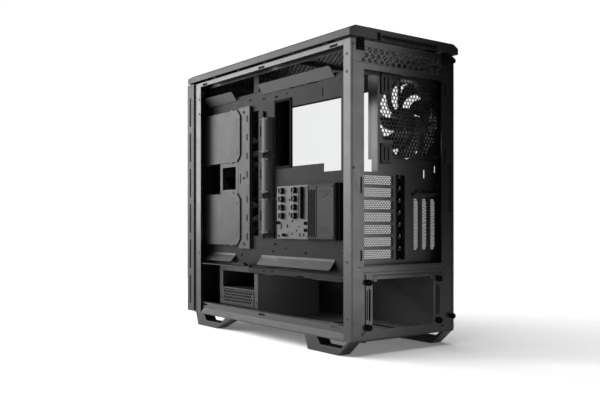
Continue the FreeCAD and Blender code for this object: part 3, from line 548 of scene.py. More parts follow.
# %% A sheet of touching hexagons, some of them punched out
def honeycomb(x, y, z, pitch, web, punched):
    """A sheet where each hexagon whose centre passes `punched` is opened."""
    shape = bmesh.new()
    radius = pitch / 3 ** 0.5
    columns, rows = int((x[1] - x[0]) / pitch) + 3, int((y[1] - y[0]) / (1.5 * radius)) + 3
    bmesh.ops.create_circle(shape, cap_ends=True, segments=6, radius=radius,
                            matrix=Matrix.Translation((x[0], y[0], z[1])))
    cell = everything(shape)
    for column in range(1, columns):
        copy = bmesh.ops.duplicate(shape, geom=cell)["geom"]
        bmesh.ops.translate(shape, vec=(column * pitch, 0, 0),
                            verts=[v for v in copy if isinstance(v, bmesh.types.BMVert)])
    line = everything(shape)
    for row in range(1, rows):
        copy = bmesh.ops.duplicate(shape, geom=line)["geom"]
        bmesh.ops.translate(shape, vec=(-pitch / 2 * (row % 2), row * 1.5 * radius, 0),
                            verts=[v for v in copy if isinstance(v, bmesh.types.BMVert)])
    bmesh.ops.remove_doubles(shape, verts=shape.verts, dist=pitch * 0.02)
    bmesh.ops.recalc_face_normals(shape, faces=shape.faces)
    open_cells = [f for f in shape.faces if punched(f.calc_center_median())]
    bmesh.ops.inset_individual(shape, faces=open_cells, thickness=web / 2)
    bmesh.ops.delete(shape, geom=open_cells, context="FACES")
    for axis, limits in ((0, x), (1, y)):
        for limit, side in ((limits[0], -1), (limits[1], 1)):
            normal = Vector((1 - axis, axis, 0)) * side
            bmesh.ops.bisect_plane(shape, geom=everything(shape),
                                   plane_co=Vector((1 - axis, axis, 0)) * limit, plane_no=normal,
                                   clear_outer=True)
    if shape.faces[:] and shape.faces[:][0].normal.z < 0:
        bmesh.ops.reverse_faces(shape, faces=shape.faces[:])
    bmesh.ops.solidify(shape, geom=shape.faces[:], thickness=z[1] - z[0])
    return shape


# %% Join a second shape into the first
def add(shape, other):
    """Move another drawn shape into this one."""
    carrier = bpy.data.meshes.new("carrier")
    other.to_mesh(carrier)
    other.free()
    shape.from_mesh(carrier)
    bpy.data.meshes.remove(carrier)


print("sheet-metal tools ready")

# %% [markdown]
# ## The recessed rear panel
# This panel carries the connector opening, the slot openings and the fan. It is one pressed sheet:
# plain where things bolt on, and a fine honeycomb where air must pass. So the plain part is a punched
# sheet and the fan part is a grid of hexagons of which only the inner ones are opened.

# %% Limits of the recessed panel
PANEL_X, _, PANEL_Z = span("inner_rear_panel")
IO_X, IO_Z = (28, 72.5), (296.5, 454.5)
FAN_X = sum(span("rear_fan_frame")[0]) / 2
FAN_Z = sum(span("rear_fan_frame")[2]) / 2
METAL = 1.2
SHEET, WALLS, COVER_SHEET = (-18.2, -17.0), (-17, -1.3), (-19.4, -18.2)
SCREW_REACH, SCREW_PAD, GRILLE_RADIUS = 62.25, 8, 67
SLOT_HALF, COVER_HALF, HOLE_PITCH = 7.25, 8.7, 3.5
SLOT_X, SLOT_TOP, SLOT_PITCH, SLOT_COUNT = (28.5, 107.5), 283.0, 20.32, 7
UPRIGHT_X = [161.2 + SLOT_PITCH * place for place in range(3)]
FAN_PART_X, FAN_PART_Z = (78, 218), (316, PANEL_Z[1])
print("fan grille centred at", round(FAN_X, 1), round(FAN_Z, 1))


# %% The fan's honeycomb
def within_grille(spot):
    """Whether a cell lies in the square opening or the round one behind the hub."""
    square = 82 < spot.x < 210 and FAN_Z - 68 < spot.y < FAN_Z + 67
    return square or (spot.x - FAN_X) ** 2 + (spot.y - FAN_Z) ** 2 < GRILLE_RADIUS ** 2


def clear_of_screws(spot):
    """Whether a cell leaves metal for the fan's four screws and the adjusting slots."""
    near_screw = any(
        (spot.x - FAN_X - across) ** 2 + (spot.y - FAN_Z - rise) ** 2 < SCREW_PAD ** 2
        for across in (-SCREW_REACH, SCREW_REACH) for rise in (-SCREW_REACH, SCREW_REACH))
    near_plate = spot.x < 104 and abs(spot.y - FAN_Z) > 40
    return not near_screw and not near_plate


panel = honeycomb(FAN_PART_X, FAN_PART_Z, SHEET, 7.2, 1.5,
                  lambda spot: within_grille(spot) and clear_of_screws(spot))
print("grille cells opened in", len(panel.faces), "faces")

# %% The plain sheet round it, with its openings
openings = [(FAN_PART_X, (FAN_PART_Z[0], FAN_PART_Z[1] + 1)), (IO_X, IO_Z),
            ((113.5, 134.5), (SLOT_TOP - 6.5 * SLOT_PITCH, SLOT_TOP + 0.5 * SLOT_PITCH))]
openings += [(SLOT_X, (middle - SLOT_HALF, middle + SLOT_HALF))
             for middle in (SLOT_TOP - place * SLOT_PITCH for place in range(SLOT_COUNT))]
openings += [((middle - 6, middle + 6), (167, 254)) for middle in UPRIGHT_X]
openings += [((178.5, 181.5), (290, 304)), ((205, 207.5), (300, 312))]
add(panel, punched_sheet(PANEL_X, PANEL_Z, SHEET, openings))
print("panel openings:", len(openings))

# %% Its folded walls, the connector flange and the stepped rail for the slot screws
for low in (PANEL_X[0], PANEL_X[1] - METAL):
    slab(panel, (low, low + METAL), PANEL_Z, WALLS)
for low in (PANEL_Z[0], PANEL_Z[1] - METAL):
    slab(panel, PANEL_X, (low, low + METAL), WALLS)
slab(panel, (IO_X[1], IO_X[1] + METAL), IO_Z, (-32, -18))
rail_z = (SLOT_TOP - 6.5 * SLOT_PITCH, SLOT_TOP + 0.5 * SLOT_PITCH)
slab(panel, (134.5, 135.7), rail_z, (-29.4, -18))
piece("rear_panel_sheet", panel, REAR_WALL, STEEL, ["inner_rear_panel"])

# %% The deep channel the slot screws stand in, with the covers' tabs under the screws, drawn in black rubber finish as painted shade for the deep recess
rail = bmesh.new()
slab(rail, (116, 135.7), (rail_z[0] - 2, rail_z[1] + 2), (-32, -30.8))
for end in (rail_z[0] - 1, rail_z[1] - 0.2):
    slab(rail, (113.5, 135.7), (end, end + METAL), (-30.8, -17.2))
for place in range(SLOT_COUNT):
    z = SLOT_TOP - place * SLOT_PITCH
    slab(rail, (114.3, 134), (z - COVER_HALF, z + COVER_HALF), (-29.4, -28.2))
piece("slot_channel_painted_shade", rail, REAR_WALL, RUBBER)

# %% [markdown]
# ### Expansion-slot covers
# Seven covers close the card slots. Each is a stamped strip with a band of fine holes, a step at one
# end and a tab under its screw. A loop makes them, because they differ only in height.


# %% One slot cover
def slot_cover(place):
    """A cover with its honeycomb band and step."""
    z = SLOT_TOP - place * SLOT_PITCH
    cover = honeycomb((25.5, 115.5), (z - COVER_HALF, z + COVER_HALF), COVER_SHEET, HOLE_PITCH, 0.95,
                      lambda spot: 29 < spot.x < 106 and abs(spot.y - z) < 7)
    slab(cover, (114.3, 115.5), (z - COVER_HALF, z + COVER_HALF), (-29.4, -18.2))
    piece(f"slot_cover_{place + 1}_vented", cover, REAR_WALL, PAINTED_LIT_STEEL, [f"slot_cover_{place + 1}"])


for place in range(SLOT_COUNT):
    slot_cover(place)

# %% The three upright covers, with pointed ends to their hole fields
uprights = bmesh.new()
for middle in UPRIGHT_X:
    add(uprights, honeycomb((middle - 7.7, middle + 7.7), (159, 262), COVER_SHEET, HOLE_PITCH, 1.2,
                            lambda spot: abs(spot.x - middle) < 5.8
                            and abs(spot.y - 210.5) < 45.5 - abs(spot.x - middle)))
piece("upright_covers_vented", uprights, REAR_WALL, PAINTED_LIT_STEEL, ["upright_slot_covers"])

# %% Slot and fan screws: washer heads with a dished drive
screws = bmesh.new()
for place in range(SLOT_COUNT):
    peg(screws, 129.5, SLOT_TOP - place * SLOT_PITCH + 6.5, (-28.4, -25.6), 3.6)
for across in (-SCREW_REACH, SCREW_REACH):
    for rise in (-SCREW_REACH, SCREW_REACH):
        peg(screws, FAN_X + across, FAN_Z + rise, (-17.6, -15.4), 3.6)
piece("rear_screw_heads", screws, REAR_WALL, SCREW, ["rear_screws"])

# %% The clamp over the upright covers, folded from one strip
clamp = bmesh.new()
slab(clamp, (151, 212), (258, 262.5), (-17, -12), 0.6)
slab(clamp, (151, 212), (262, 263.2), (-17, -6), 0.4)
slab(clamp, (207.5, 212), (258, 281), (-17, -12), 0.6)
for middle in UPRIGHT_X:
    peg(clamp, middle, 266.5, (-17.2, -14.6), 2.6)
piece("upright_clamp_strip", clamp, REAR_WALL, STEEL, ["upright_slot_clamp"])

# %% Two fan-adjusting plates with a pair of slots each
plates = bmesh.new()
for low in (314, 429):
    add(plates, punched_sheet((79, 101), (low - 3, low + 30), (-17.0, -14.6),
                              [((84, 87), (low + 2, low + 25)), ((92.5, 95.5), (low + 2, low + 25))], 1.4))
    slab(plates, (79, 101), (low - 3, low - 1.5), (-17, -12.5))
    slab(plates, (79, 101), (low + 28.5, low + 30), (-17, -12.5))
piece("fan_adjusting_plates", plates, REAR_WALL, PLASTIC)

# %% [markdown]
# ## The power-supply opening
# A removable ring closes the opening from outside, held by four knurled knobs. Ribs pressed into the
# sheet round it keep it flat. They are slight, but they catch a line of light.

# %% Ring, its slotted side rails and tabs
PSU_X, _, PSU_Z = span("psu_bracket")
ring = punched_sheet(PSU_X, PSU_Z, (0, 1.5), [((45, 187), (41, 122)), ((37, 40), (55, 108)),
                                               ((192, 195), (55, 108))], 1.2)
for edge in (PSU_X[0], PSU_X[1] - 12):
    slab(ring, (edge + 2.4, edge + 3.6), (58, 105), (1.5, 3.0))
    slab(ring, (edge + 8.4, edge + 9.6), (58, 105), (1.5, 3.0))
for u in (47, 177):
    slab(ring, (u, u + 8), (118, 126), (0.3, 1.9), 0.8)
    slab(ring, (u, u + 8), (37.5, 45), (0.3, 1.9), 0.8)
piece("psu_ring", ring, REAR_WALL, STEEL, ["psu_bracket"])


# %% Knurled knobs
def knob(shape, x, y, z, radius, ribs=22):
    """A thumbscrew whose rim is notched: every second facet is pulled in."""
    made = bmesh.ops.create_cone(shape, cap_ends=True, segments=ribs * 2, radius1=radius, radius2=radius,
                                 depth=z[1] - z[0], matrix=Matrix.Translation((x, y, sum(z) / 2)))
    centre = Vector((x, y, 0))
    for corner in made["verts"]:
        out = Vector((corner.co.x, corner.co.y, 0)) - centre
        if round(out.to_2d().angle_signed(Vector((1, 0))) / pi * ribs) % 2:
            corner.co -= out * 0.09
    faces = {face for corner in made["verts"] for face in corner.link_faces}
    head = max(faces, key=lambda face: face.calc_center_median().z)
    bmesh.ops.inset_region(shape, faces=[head], thickness=radius * 0.28)
    bmesh.ops.translate(shape, verts=head.verts[:], vec=(0, 0, 0.6))
    bmesh.ops.inset_region(shape, faces=[head], thickness=radius * 0.28)
    bmesh.ops.translate(shape, verts=head.verts[:], vec=(0, 0, -1.6))


knobs = bmesh.new()
for x in (35.5, 196.5):
    for y in (45.5, 117.5):
        knob(knobs, x, y, (1.5, 6.9), 5.2)
piece("psu_knobs", knobs, REAR_WALL, RUBBER, ["psu_bracket_screws"])
thumbs = bmesh.new()
for y in (495, 51):
    peg(thumbs, 229, y, (-1.5, 3.0), 2.6, dish=0)
    knob(thumbs, 229, y, (2.4, 7.4), 4.6)
piece("side_thumbscrews", thumbs, REAR_WALL, RUBBER, ["panel_thumbscrews"])

# %% Pressed ribs and creases of the rear sheet
ribs = bmesh.new()
for x, z, out, rounding in (
        ((26, 222), (133, 134.2), 0.5, 0.4), ((14, 226), (141.6, 142.8), 0.5, 0.4),
        ((48, 184), (127.6, 129), 0.7, 0.5), ((30, 175), (493.4, 494.4), 0.6, 0.4),
        ((14, 222), (467.6, 469), 0.6, 0.4), ((3.2, 4.6), (36, 498), 0.5, 0.4),
        ((231.2, 232.6), (36, 498), 0.5, 0.4)):
    slab(ribs, x, z, (-0.4, out), rounding)
for x, y in ((30.5, 128), (26, 35.6), (205, 128), (208, 35.6), (7, 300), (15, 488)):
    peg(ribs, x, y, (-0.4, 1.1), 2.3)
piece("rear_sheet_ribs", ribs, REAR_WALL, STEEL)

# %% Punched slots in the posts of the rear sheet, drawn as thin black slabs on the sheet: painted shade in place of open holes
slots = bmesh.new()
SLOT_WIDTH = 3.6
for x, low, high in ((214, 432, 455.6), (214, 318, 341), (226, 232, 315.6),
                     (22.5, 260, 286), (22.5, 152, 170)):
    slab(slots, (x - SLOT_WIDTH / 2, x + SLOT_WIDTH / 2), (low, high), (-0.4, 0.15), 0.2)
piece("post_slots_painted_shade", slots, REAR_WALL, RUBBER)

# %% Cover latches, and the grip under the cover's rear edge, whose black also paints the shade of the pocket under that edge
latches = bmesh.new()
for x in (13, 207):
    slab(latches, (x, x + 15), (487, 501), (-0.4, 2.4), 0.8)
    slab(latches, (x + 1, x + 14), (501, 506.5), (-0.4, 3.8), 0.8)
    slab(latches, (x + 4, x + 13), (491, 493.5), (1.6, 3.6), 0.4)
    peg(latches, x + 9, 497, (2.0, 4.2), 3.0)
piece("cover_latches", latches, REAR_WALL, RUBBER, ["cover_clips"])
grip = bmesh.new()
slab(grip, (52, 60), (506.5, 519), (4.2, 5.6), 0.8)
slab(grip, (62, 190), (510.5, 515), (4.2, 5.3), 0.8)
slab(grip, (66, 186), (508.5, 509.8), (4.2, 5.7), 0.4)
slab(grip, (66, 186), (515.5, 516.5), (4.2, 5.5), 0.4)
piece("cover_grip_painted_shade", grip, REAR_WALL, RUBBER, body="cover")

# %% [markdown]
# ## The open side
# Behind the missing side panel lies the back of the motherboard tray with everything a builder hides
# there: drive trays on a bracket, rounded cable guides, and the fan hub. They are drawn on the side
# wall, where the first number runs forward, the second up and the third in.

# %% Solid-state drive trays: pressed plates with cut corners
def drive_plate(node, name):
    """A tray with clipped corners, a raised field and a folded lip along its rear edge."""
    depth, x, y = span(node)
    plate = bmesh.new()
    flat(plate, x, y, depth[0] + 1)
    bmesh.ops.bevel(plate, geom=plate.verts[:], offset=11, segments=1, profile=0.5,
                    affect="VERTICES", material=-1)
    field = plate.faces[:]
    for thickness, height in ((5, 0), (1.2, -1.0), (9, 0), (0.8, 0.5)):
        bmesh.ops.inset_region(plate, faces=field, thickness=thickness)
        bmesh.ops.translate(plate, verts=field[0].verts[:], vec=(0, 0, height))
    if plate.faces[:][0].normal.z > 0:
        bmesh.ops.reverse_faces(plate, faces=plate.faces[:])
    bmesh.ops.solidify(plate, geom=plate.faces[:], thickness=METAL)
    slab(plate, (x[0] - 1, x[0] + 0.2), (y[0] + 12, y[1] - 12), (depth[0] + 0.6, depth[1] + 4))
    for at_x in (x[0] + 26, x[1] - 22):
        for at_y, out in ((y[0], -1), (y[1], 1)):
            slab(plate, (at_x, at_x + 9), sorted((at_y - out * 2, at_y + out * 2.2)),
                 (depth[0] + 0.8, depth[1] + 1), 0.5)
    for at_x, at_y in ((x[0] + 9, y[0] + 19), (x[0] + 9, y[1] - 19), (x[1] - 9, y[0] + 19),
                       (x[1] - 9, y[1] - 19)):
        peg(plate, at_x, at_y, (depth[0] + 1.8, depth[0] + 0.2), 2.4)
    piece(name, plate, SIDE_WALL, PAINTED_LIT_STEEL, [node])


for tray, finished in (("upper_ssd_tray", "upper_drive_plate"), ("lower_ssd_tray", "lower_drive_plate")):
    drive_plate(tray, finished)

# %% The bracket that holds them
_, COLUMN_X, COLUMN_Z = span("drive_bracket")
BRACKET_SHEET, BRACKET_WALLS = (18, 19.2), (18, 24)
bracket = punched_sheet((322, 364), COLUMN_Z, BRACKET_SHEET, [
    ((329, 333), (low, low + 13)) for low in (180, 216, 252, 300, 336, 372, 408)] + [
    ((354, 357), (low, low + 20)) for low in (196, 290, 384)], 1.2)
add(bracket, punched_sheet((362.8, COLUMN_X[1]), (270, 333), BRACKET_SHEET,
                           [((373, COLUMN_X[1] - 9), (279, 324))], 1.6))
for low in (322, 362.8):
    slab(bracket, (low, low + METAL), COLUMN_Z, BRACKET_WALLS)
for low in (163, 262, 333, 430):
    slab(bracket, (323, 363), (low, low + METAL), (18.4, 22))
for y in (172, 300, 428):
    peg(bracket, 343, y, (18.4, 16.6), 2.8)
piece("drive_bracket_folded", bracket, SIDE_WALL, PAINTED_LIT_STEEL, ["drive_bracket"])

# %% The slotted slat beside the guides
slat = punched_sheet((278, 294), (184, 423), (20, 21.4), [
    ((284, 287.6), (low, low + 20)) for low in (216, 295.7, 375.3)], 1.4)
for low in (278, 292.6):
    slab(slat, (low, low + 1.4), (184, 423), (20, 24), 0.5)
piece("slotted_slat", slat, SIDE_WALL, SHADED_TRAY_STEEL, ["cable_slat"])


# %% Rounded cable guides: half tubes turned by spin, with ribs at their ends
GUIDE_MIDDLE, GUIDE_BACK, GUIDE_LENGTH = 262, 24, 65


def cable_guide(shape, low):
    """A half tube about an upright axis, standing off the tray."""
    high = low + GUIDE_LENGTH
    profile = [(13.2, low), (15, low), (15, high), (13.2, high)]
    corners = [shape.verts.new((GUIDE_MIDDLE + reach, height, GUIDE_BACK)) for reach, height in profile]
    start = [shape.edges.new((corners[i], corners[(i + 1) % 4])) for i in range(4)]
    bmesh.ops.spin(shape, geom=corners + start, cent=(GUIDE_MIDDLE, 0, GUIDE_BACK), axis=(0, 1, 0),
                   dvec=(0, 0, 0), angle=pi, steps=18, use_merge=False, use_duplicate=False)


guides = bmesh.new()
for low in (193, 268, 343):
    cable_guide(guides, low)
    for rib in (low + 2, low + 61.5):
        slab(guides, (248.5, 275.5), (rib, rib + 1.5), (10.5, 23.8), 0.4)
bmesh.ops.remove_doubles(guides, verts=guides.verts, dist=0.001)
bmesh.ops.holes_fill(guides, edges=[e for e in guides.edges if e.is_boundary], sides=4)
bmesh.ops.recalc_face_normals(guides, faces=guides.faces)
guide = piece("cable_guide_row", guides, SIDE_WALL, GUIDE, ["cable_guides"])
reach = [corner.co.x for corner in guide.data.vertices]
print("guides stand between x", round(min(reach), 4), "and", round(max(reach), 4))

# %% Dark rubber: between the guides, round the cable opening and beside the hub
rubber = bmesh.new()
SEAL = (22.2, 24.2)
for low in (185, 259, 334):
    slab(rubber, (244, 278), (low, low + 8), (21.5, 23.9))
for x in (191, 240.5):
    slab(rubber, (x, x + 4.5), (312, 438), SEAL, 0.8)
for z in (312, 434.5):
    slab(rubber, (191, 245), (z, z + 3.5), SEAL, 0.8)
slab(rubber, (49, 57.4), (184, 279), (19, 23.9), 0.6)
piece("cable_rubbers", rubber, SIDE_WALL, RUBBER)

# %% [markdown]
# ### The fan hub
# The hub shares out power to the fans. Its board carries two columns of four sockets, a long strip and
# small parts. A ribbed cover hides the rest. Small boxes are enough for the parts, if they come in the
# real variety of sizes and stand on the board.

# %% Board with its parts
board = bmesh.new()
slab(board, (131, 229), (184, 279), (18, 20), 0.4)
for x, y in ((136, 189), (224, 189), (136, 274), (224, 274)):
    peg(board, x, y, (18.2, 16.6), 2.6)
for x, y, wide, tall, thick in (
        (181, 214, 5, 5, 1.4), (190, 226, 3, 6, 1.2), (181, 240, 4, 3, 1.0), (190, 252, 3, 4, 1.3),
        (182, 262, 5, 3, 1.2), (196, 205, 7, 5, 1.6), (160, 205, 4, 3, 1.0), (168, 198, 3, 3, 1.2),
        (147, 190, 6, 4, 1.5), (158, 189, 4, 6, 1.2), (215, 202, 5, 8, 1.4), (180, 192, 9, 3, 1.0)):
    slab(board, (x, x + wide), (y, y + tall), (18 - thick, 18.1), 0.2)
for x, y in ((138, 200), (138, 212), (224, 213), (204, 191)):
    peg(board, x, y, (18.1, 12.6), 3.1, dish=0.25)
piece("hub_board_parts", board, SIDE_WALL, BOARD, ["fan_hub_board"])

# %% Sockets: shrouded headers with a slot and pins
sockets = bmesh.new()
HEADER, PIN = (12, 17.9), (13, 18)
for column in (171, 210):
    for row in range(4):
        y = 220 + 15 * row
        add(sockets, punched_sheet((column, column + 8), (y, y + 11), HEADER,
                                   [((column + 1, column + 6.8), (y + 1, y + 10))], 0.3))
        slab(sockets, (column - 1.6, column), (y + 3, y + 8), (12.5, 17.9), 0.2)
        for pin in range(4):
            slab(sockets, (column + 3.4, column + 4.1), (y + 1.7 + 2 * pin, y + 2.4 + 2 * pin), PIN, 0)
add(sockets, punched_sheet((150, 156), (220, 276), HEADER, [((151, 155), (221, 275))], 0.3))
for pin in range(20):
    slab(sockets, (152.6, 153.4), (222 + 2.65 * pin, 222.8 + 2.65 * pin), PIN, 0)
piece("hub_socket_row", sockets, SIDE_WALL, SOCKET, ["fan_hub_sockets"])

# %% Hub cover: a chamfered lid with a strip of diamond studs and long grooves
lid = bmesh.new()
HUB_X, HUB_Z = span("fan_hub_cover")[1:]
slab(lid, HUB_X, HUB_Z, (12, 20), 0)
outer = min(lid.faces, key=lambda face: face.calc_center_median().z)
bmesh.ops.bevel(lid, geom=outer.edges[:], offset=2.4, segments=1, profile=0.5, affect="EDGES", material=-1)
top = min(lid.faces, key=lambda face: face.calc_center_median().z)
bmesh.ops.inset_region(lid, faces=[top], thickness=2.2)
bmesh.ops.inset_region(lid, faces=[top], thickness=0.5)
bmesh.ops.translate(lid, verts=top.verts[:], vec=(0, 0, 0.9))
print("lid spans", HUB_X, "by", HUB_Z)


# %% Studs and grooves on the lid
def stud(shape, x, y, z, radius, height):
    """A low four-sided pyramid, blunt at its top."""
    bmesh.ops.create_cone(shape, cap_ends=True, segments=4, radius1=radius, radius2=radius * 0.25,
                          depth=height, matrix=Matrix.Translation((x, y, z)) @ Matrix.Rotation(pi, 4, "X"))


for column in range(5):
    for row in range(21):
        shift = 1.9 * (column % 2)
        if row < 20 or not column % 2:
            stud(lid, 110 + column * 4.1, 190.5 + row * 3.9 + shift, 12.2, 2.7, 2.6)
GROOVE = 1.2
slab(lid, (104.5, 105.7), (187, 276), (12.0, 13.2), 0.3)
for step in range(4):
    for low in (196 + 3.2 * step, 265.8 - 3.2 * step):
        slab(lid, (66 + 4 * step, 100 - 3 * step), (low, low + GROOVE), (12.2, 13.2), 0.3)
for x, y in ((61, 190), (61, 273)):
    peg(lid, x, y, (13.4, 11.9), 2.2)
piece("hub_lid", lid, SIDE_WALL, LID, ["fan_hub_cover"])

# %% [markdown]
# ### Trim along the open side
# Folded shelves run above and below the tray and keep cables in. Under the cover the top shelf is
# perforated for air. Small clips and screws finish the posts.


# %% Tilted cable shelves
def folded_shelf(name, node, x, points, finish=PAINTED_LIT_STEEL):
    """A strip folded along the listed (height, inward) points, with clipped outer corners."""
    shape = bmesh.new()
    ends = [[shape.verts.new((end, height, inward)) for height, inward in points] for end in x]
    for first, second, third, fourth in zip(ends[0], ends[0][1:], ends[1][1:], ends[1]):
        shape.faces.new((first, second, third, fourth))
    bmesh.ops.bevel(shape, geom=[ends[0][-1], ends[1][-1]], offset=2.5, segments=1, profile=0.5,
                    affect="VERTICES", material=-1)
    bmesh.ops.recalc_face_normals(shape, faces=shape.faces)
    bmesh.ops.solidify(shape, geom=shape.faces[:], thickness=METAL)
    piece(name, shape, SIDE_WALL, finish, [node])


UPPER_FOLD = [(456, 23.9), (458, 22.6), (473, 12)]
# The upper shelves take the much lighter steel as a painted highlight.
folded_shelf("shelf_above_rear", "upper_rear_lip", (68, 284), UPPER_FOLD, PAINTED_HIGHLIGHT_STEEL)
folded_shelf("shelf_above_front", "upper_front_lip", (378, 486), UPPER_FOLD, PAINTED_HIGHLIGHT_STEEL)
folded_shelf("shelf_below_rear", "lower_rear_lip", (68, 288), [(152, 23.9), (148, 22.6), (134, 11.5)])
folded_shelf("shelf_below_front", "lower_front_lip", (382, 486), [(152, 23.9), (148, 22.6), (136, 11.5)])

# %% [markdown]
# ### The tray, the rails and the shroud's edge
# The tray is one sheet with many cut-outs, so it is punched like the rear panel. The rails and the
# shroud's edge are folded strips: a strip is drawn as its fold points and then given its thickness.

# %% The motherboard tray
_, TRAY_X, TRAY_Z = span("motherboard_tray")
TRAY_SHEET = (24, 25.2)
tray_holes = [((52, 190.5), (314, 421)), ((52, 99), (299.5, 314.5)), ((193, 244), (316, 434)),
              ((299, 322), (188, 427)), ((372, 486), (180, 426)), ((99.9, 102.3), (427, 442)),
              ((111, 196), (453.6, 456.4)), ((120, 150), (140, 148))]
tray_holes += [((x - 1.9, x + 1.9), (z - 1.9, z + 1.9)) for x in (50.7, 207, 281) for z in (166, 447)]
tray_holes += [((x, x + 9), (z, z + 2.6)) for x in (238, 350) for z in (172, 436)]
tray = punched_sheet(TRAY_X, (TRAY_Z[0], 462), TRAY_SHEET, tray_holes, 1.2)
for x in (18.2, 299, 486):
    slab(tray, (x, x + 17), (461, TRAY_Z[1]), TRAY_SHEET)
for x, z in ((30, 200), (30, 260), (150, 160), (330, 450), (360, 150), (250, 160), (240, 445)):
    peg(tray, x, z, (24.1, 22.6), 2.2)
piece("tray_sheet", tray, SIDE_WALL, SHADED_TRAY_STEEL, ["motherboard_tray"])


# %% Edge of the shroud, with its slots and its notch
edge = punched_sheet((19, 300), (118, 129.2), (2, 3.2), [
    ((125, 145), (118, 122)), ((215, 224), (123.5, 126)), ((243, 252), (123.5, 126)),
    ((100, 102), (122, 124)), ((24, 26), (122, 124))], 1.0)
slab(edge, (19, 300), (128, 129.2), (2, 12), 0.3)
slab(edge, (318, 362), (131, 134.4), (3, 12), 0.6)
slab(edge, (322, 346), (134.4, 137), (4, 10), 0.8)
slab(edge, (300, 304), (126, 133), (2.5, 9), 1.0)
piece("shroud_edge", edge, SIDE_WALL, SHADED_TRAY_STEEL)

# %% Base rails: an upright web with slots, set back over a skirt that leans out
CASE_WIDTH = 236
for side, node in ((1, "right_base_rail"), (-1, "left_base_rail")):
    _, rail_x, rail_z = span(node)
    web = punched_sheet(rail_x, (37, rail_z[1]), (4, 5.2), [
        ((x - 10, x + 10), (42, 45.6)) for x in (42, 258, 473)], 1.7)
    slab(web, rail_x, (rail_z[1] - METAL, rail_z[1]), (4, 12))
    skirt = bmesh.new()
    corners = [skirt.verts.new((rail_x[end], z, u)) for end, z, u in (
        (0, 37.5, 4.4), (1, 37.5, 4.4), (1, rail_z[0] + 0.6, 0.2), (0, rail_z[0] + 0.6, 0.2))]
    skirt.faces.new(corners)
    bmesh.ops.solidify(skirt, geom=skirt.faces[:], thickness=1.0)
    add(web, skirt)
    slab(web, rail_x, (rail_z[0], rail_z[0] + METAL), (0.2, 14))
    if side < 0:
        mirror = Matrix.Translation((0, 0, CASE_WIDTH)) @ Matrix.Scale(-1, 4, (0, 0, 1))
        bmesh.ops.transform(web, matrix=mirror, verts=web.verts)
        bmesh.ops.reverse_faces(web, faces=web.faces[:])
    piece(node + "_folded", web, SIDE_WALL, STEEL, [node])

# %% The perforated shelf under the cover
SHELF_U, SHELF_R, SHELF_Z = span("top_shelf")


def shelf_field(spot):
    """The two perforated fields of the shelf, clear of its cross bars."""
    return 20 < spot.x < 216 and 22 < spot.y < 462 and abs(spot.y - 178) > 8 and abs(spot.y - 326) > 6


shelf = honeycomb(SHELF_U, SHELF_R, SHELF_Z, 9.0, 2.2, shelf_field)
for u in (SHELF_U[0] + 14, SHELF_U[1] - 15.2):
    slab(shelf, (u, u + METAL), SHELF_R, (SHELF_Z[0] - 9, SHELF_Z[0] + 0.4))
for r in (176, 324):
    slab(shelf, (30, 206), (r, r + METAL), (SHELF_Z[0] - 7, SHELF_Z[0] + 0.4))
piece("shelf_perforated", shelf, PLAN, STEEL, ["top_shelf"])

# %% Screws and clips at the posts
trim = bmesh.new()
for r, z in ((9, 480), (9, 452), (9, 150), (9, 60), (489, 470), (489, 440), (489, 150), (489, 62)):
    peg(trim, r, z, (0.2, -0.9), 2.3)
for r, z in ((4, 486), (486, 484), (4, 140), (486, 48)):
    slab(trim, (r, r + 9), (z, z + 3), (4, 14), 0.8)
    slab(trim, (r + 2, r + 4), (z - 7, z + 8), (6, 9), 0.6)
    slab(trim, (r + 5.5, r + 8), (z - 4, z + 4), (3, 12), 0.5)
for r in (60, 150, 240, 330, 420):
    slab(trim, (r, r + 5), (505.2, 507), (-1.5, 3), 0.4)
piece("post_fittings", trim, SIDE_WALL, SCREW)

# %% [markdown]
# ### Drive cage and caddy
# The cage is folded from one sheet. The caddy's face is a coarse honeycomb, so it is the same tool
# with a bigger cell; the caddy slides, so the face rides on the caddy.

# %% The caddy's perforated face and the bars of the cage
CADDY_U, CADDY_R, CADDY_Z = span("drive_caddy")
CADDY_WALL = 18
face = honeycomb(CADDY_R, CADDY_Z, (22.8, 24.0), 6.8, 2.3, lambda spot: (
    CADDY_R[0] + 5 < spot.x < CADDY_R[1] - 5 and CADDY_Z[0] + 4 < spot.y < CADDY_Z[1] - 3))
slab(face, CADDY_R, (CADDY_Z[0], CADDY_Z[0] + 1.6), (24, CADDY_U[1]), 0.4)
for end in (CADDY_R[0], CADDY_R[1] - 2):
    slab(face, (end, end + 2), (CADDY_Z[0], CADDY_Z[0] + CADDY_WALL), (24, CADDY_U[1]), 0.5)
slab(face, CADDY_R, (CADDY_Z[0], CADDY_Z[0] + CADDY_WALL), (CADDY_U[1] - 2, CADDY_U[1]), 0.5)
piece("caddy_tray", face, SIDE_WALL, PAINTED_LIT_STEEL, ["drive_caddy"], "caddy")
cage = bmesh.new()
for low in (116.5, 79.6):
    slab(cage, (316, 431), (low, low + METAL), (24, 60))
for x, z in ((309, 60), (309, 118), (438, 60), (438, 118)):
    peg(cage, x, z, (24.1, 22.9), 2.2)
piece("cage_bars", cage, SIDE_WALL, STEEL)

# %% [markdown]
# ## Fans
# A fan blade is a thin plate that is swept forward and twisted from hub to tip. A grid gives the
# plate; moving its points by two short formulas sweeps and twists it, and spinning copies makes the
# rotor. The blades are thin enough to need only a few faces.

# %% One swept blade
BLADES, HUB, TIP, HUB_SHELL = 7, 20.0, 65.5, 20.3


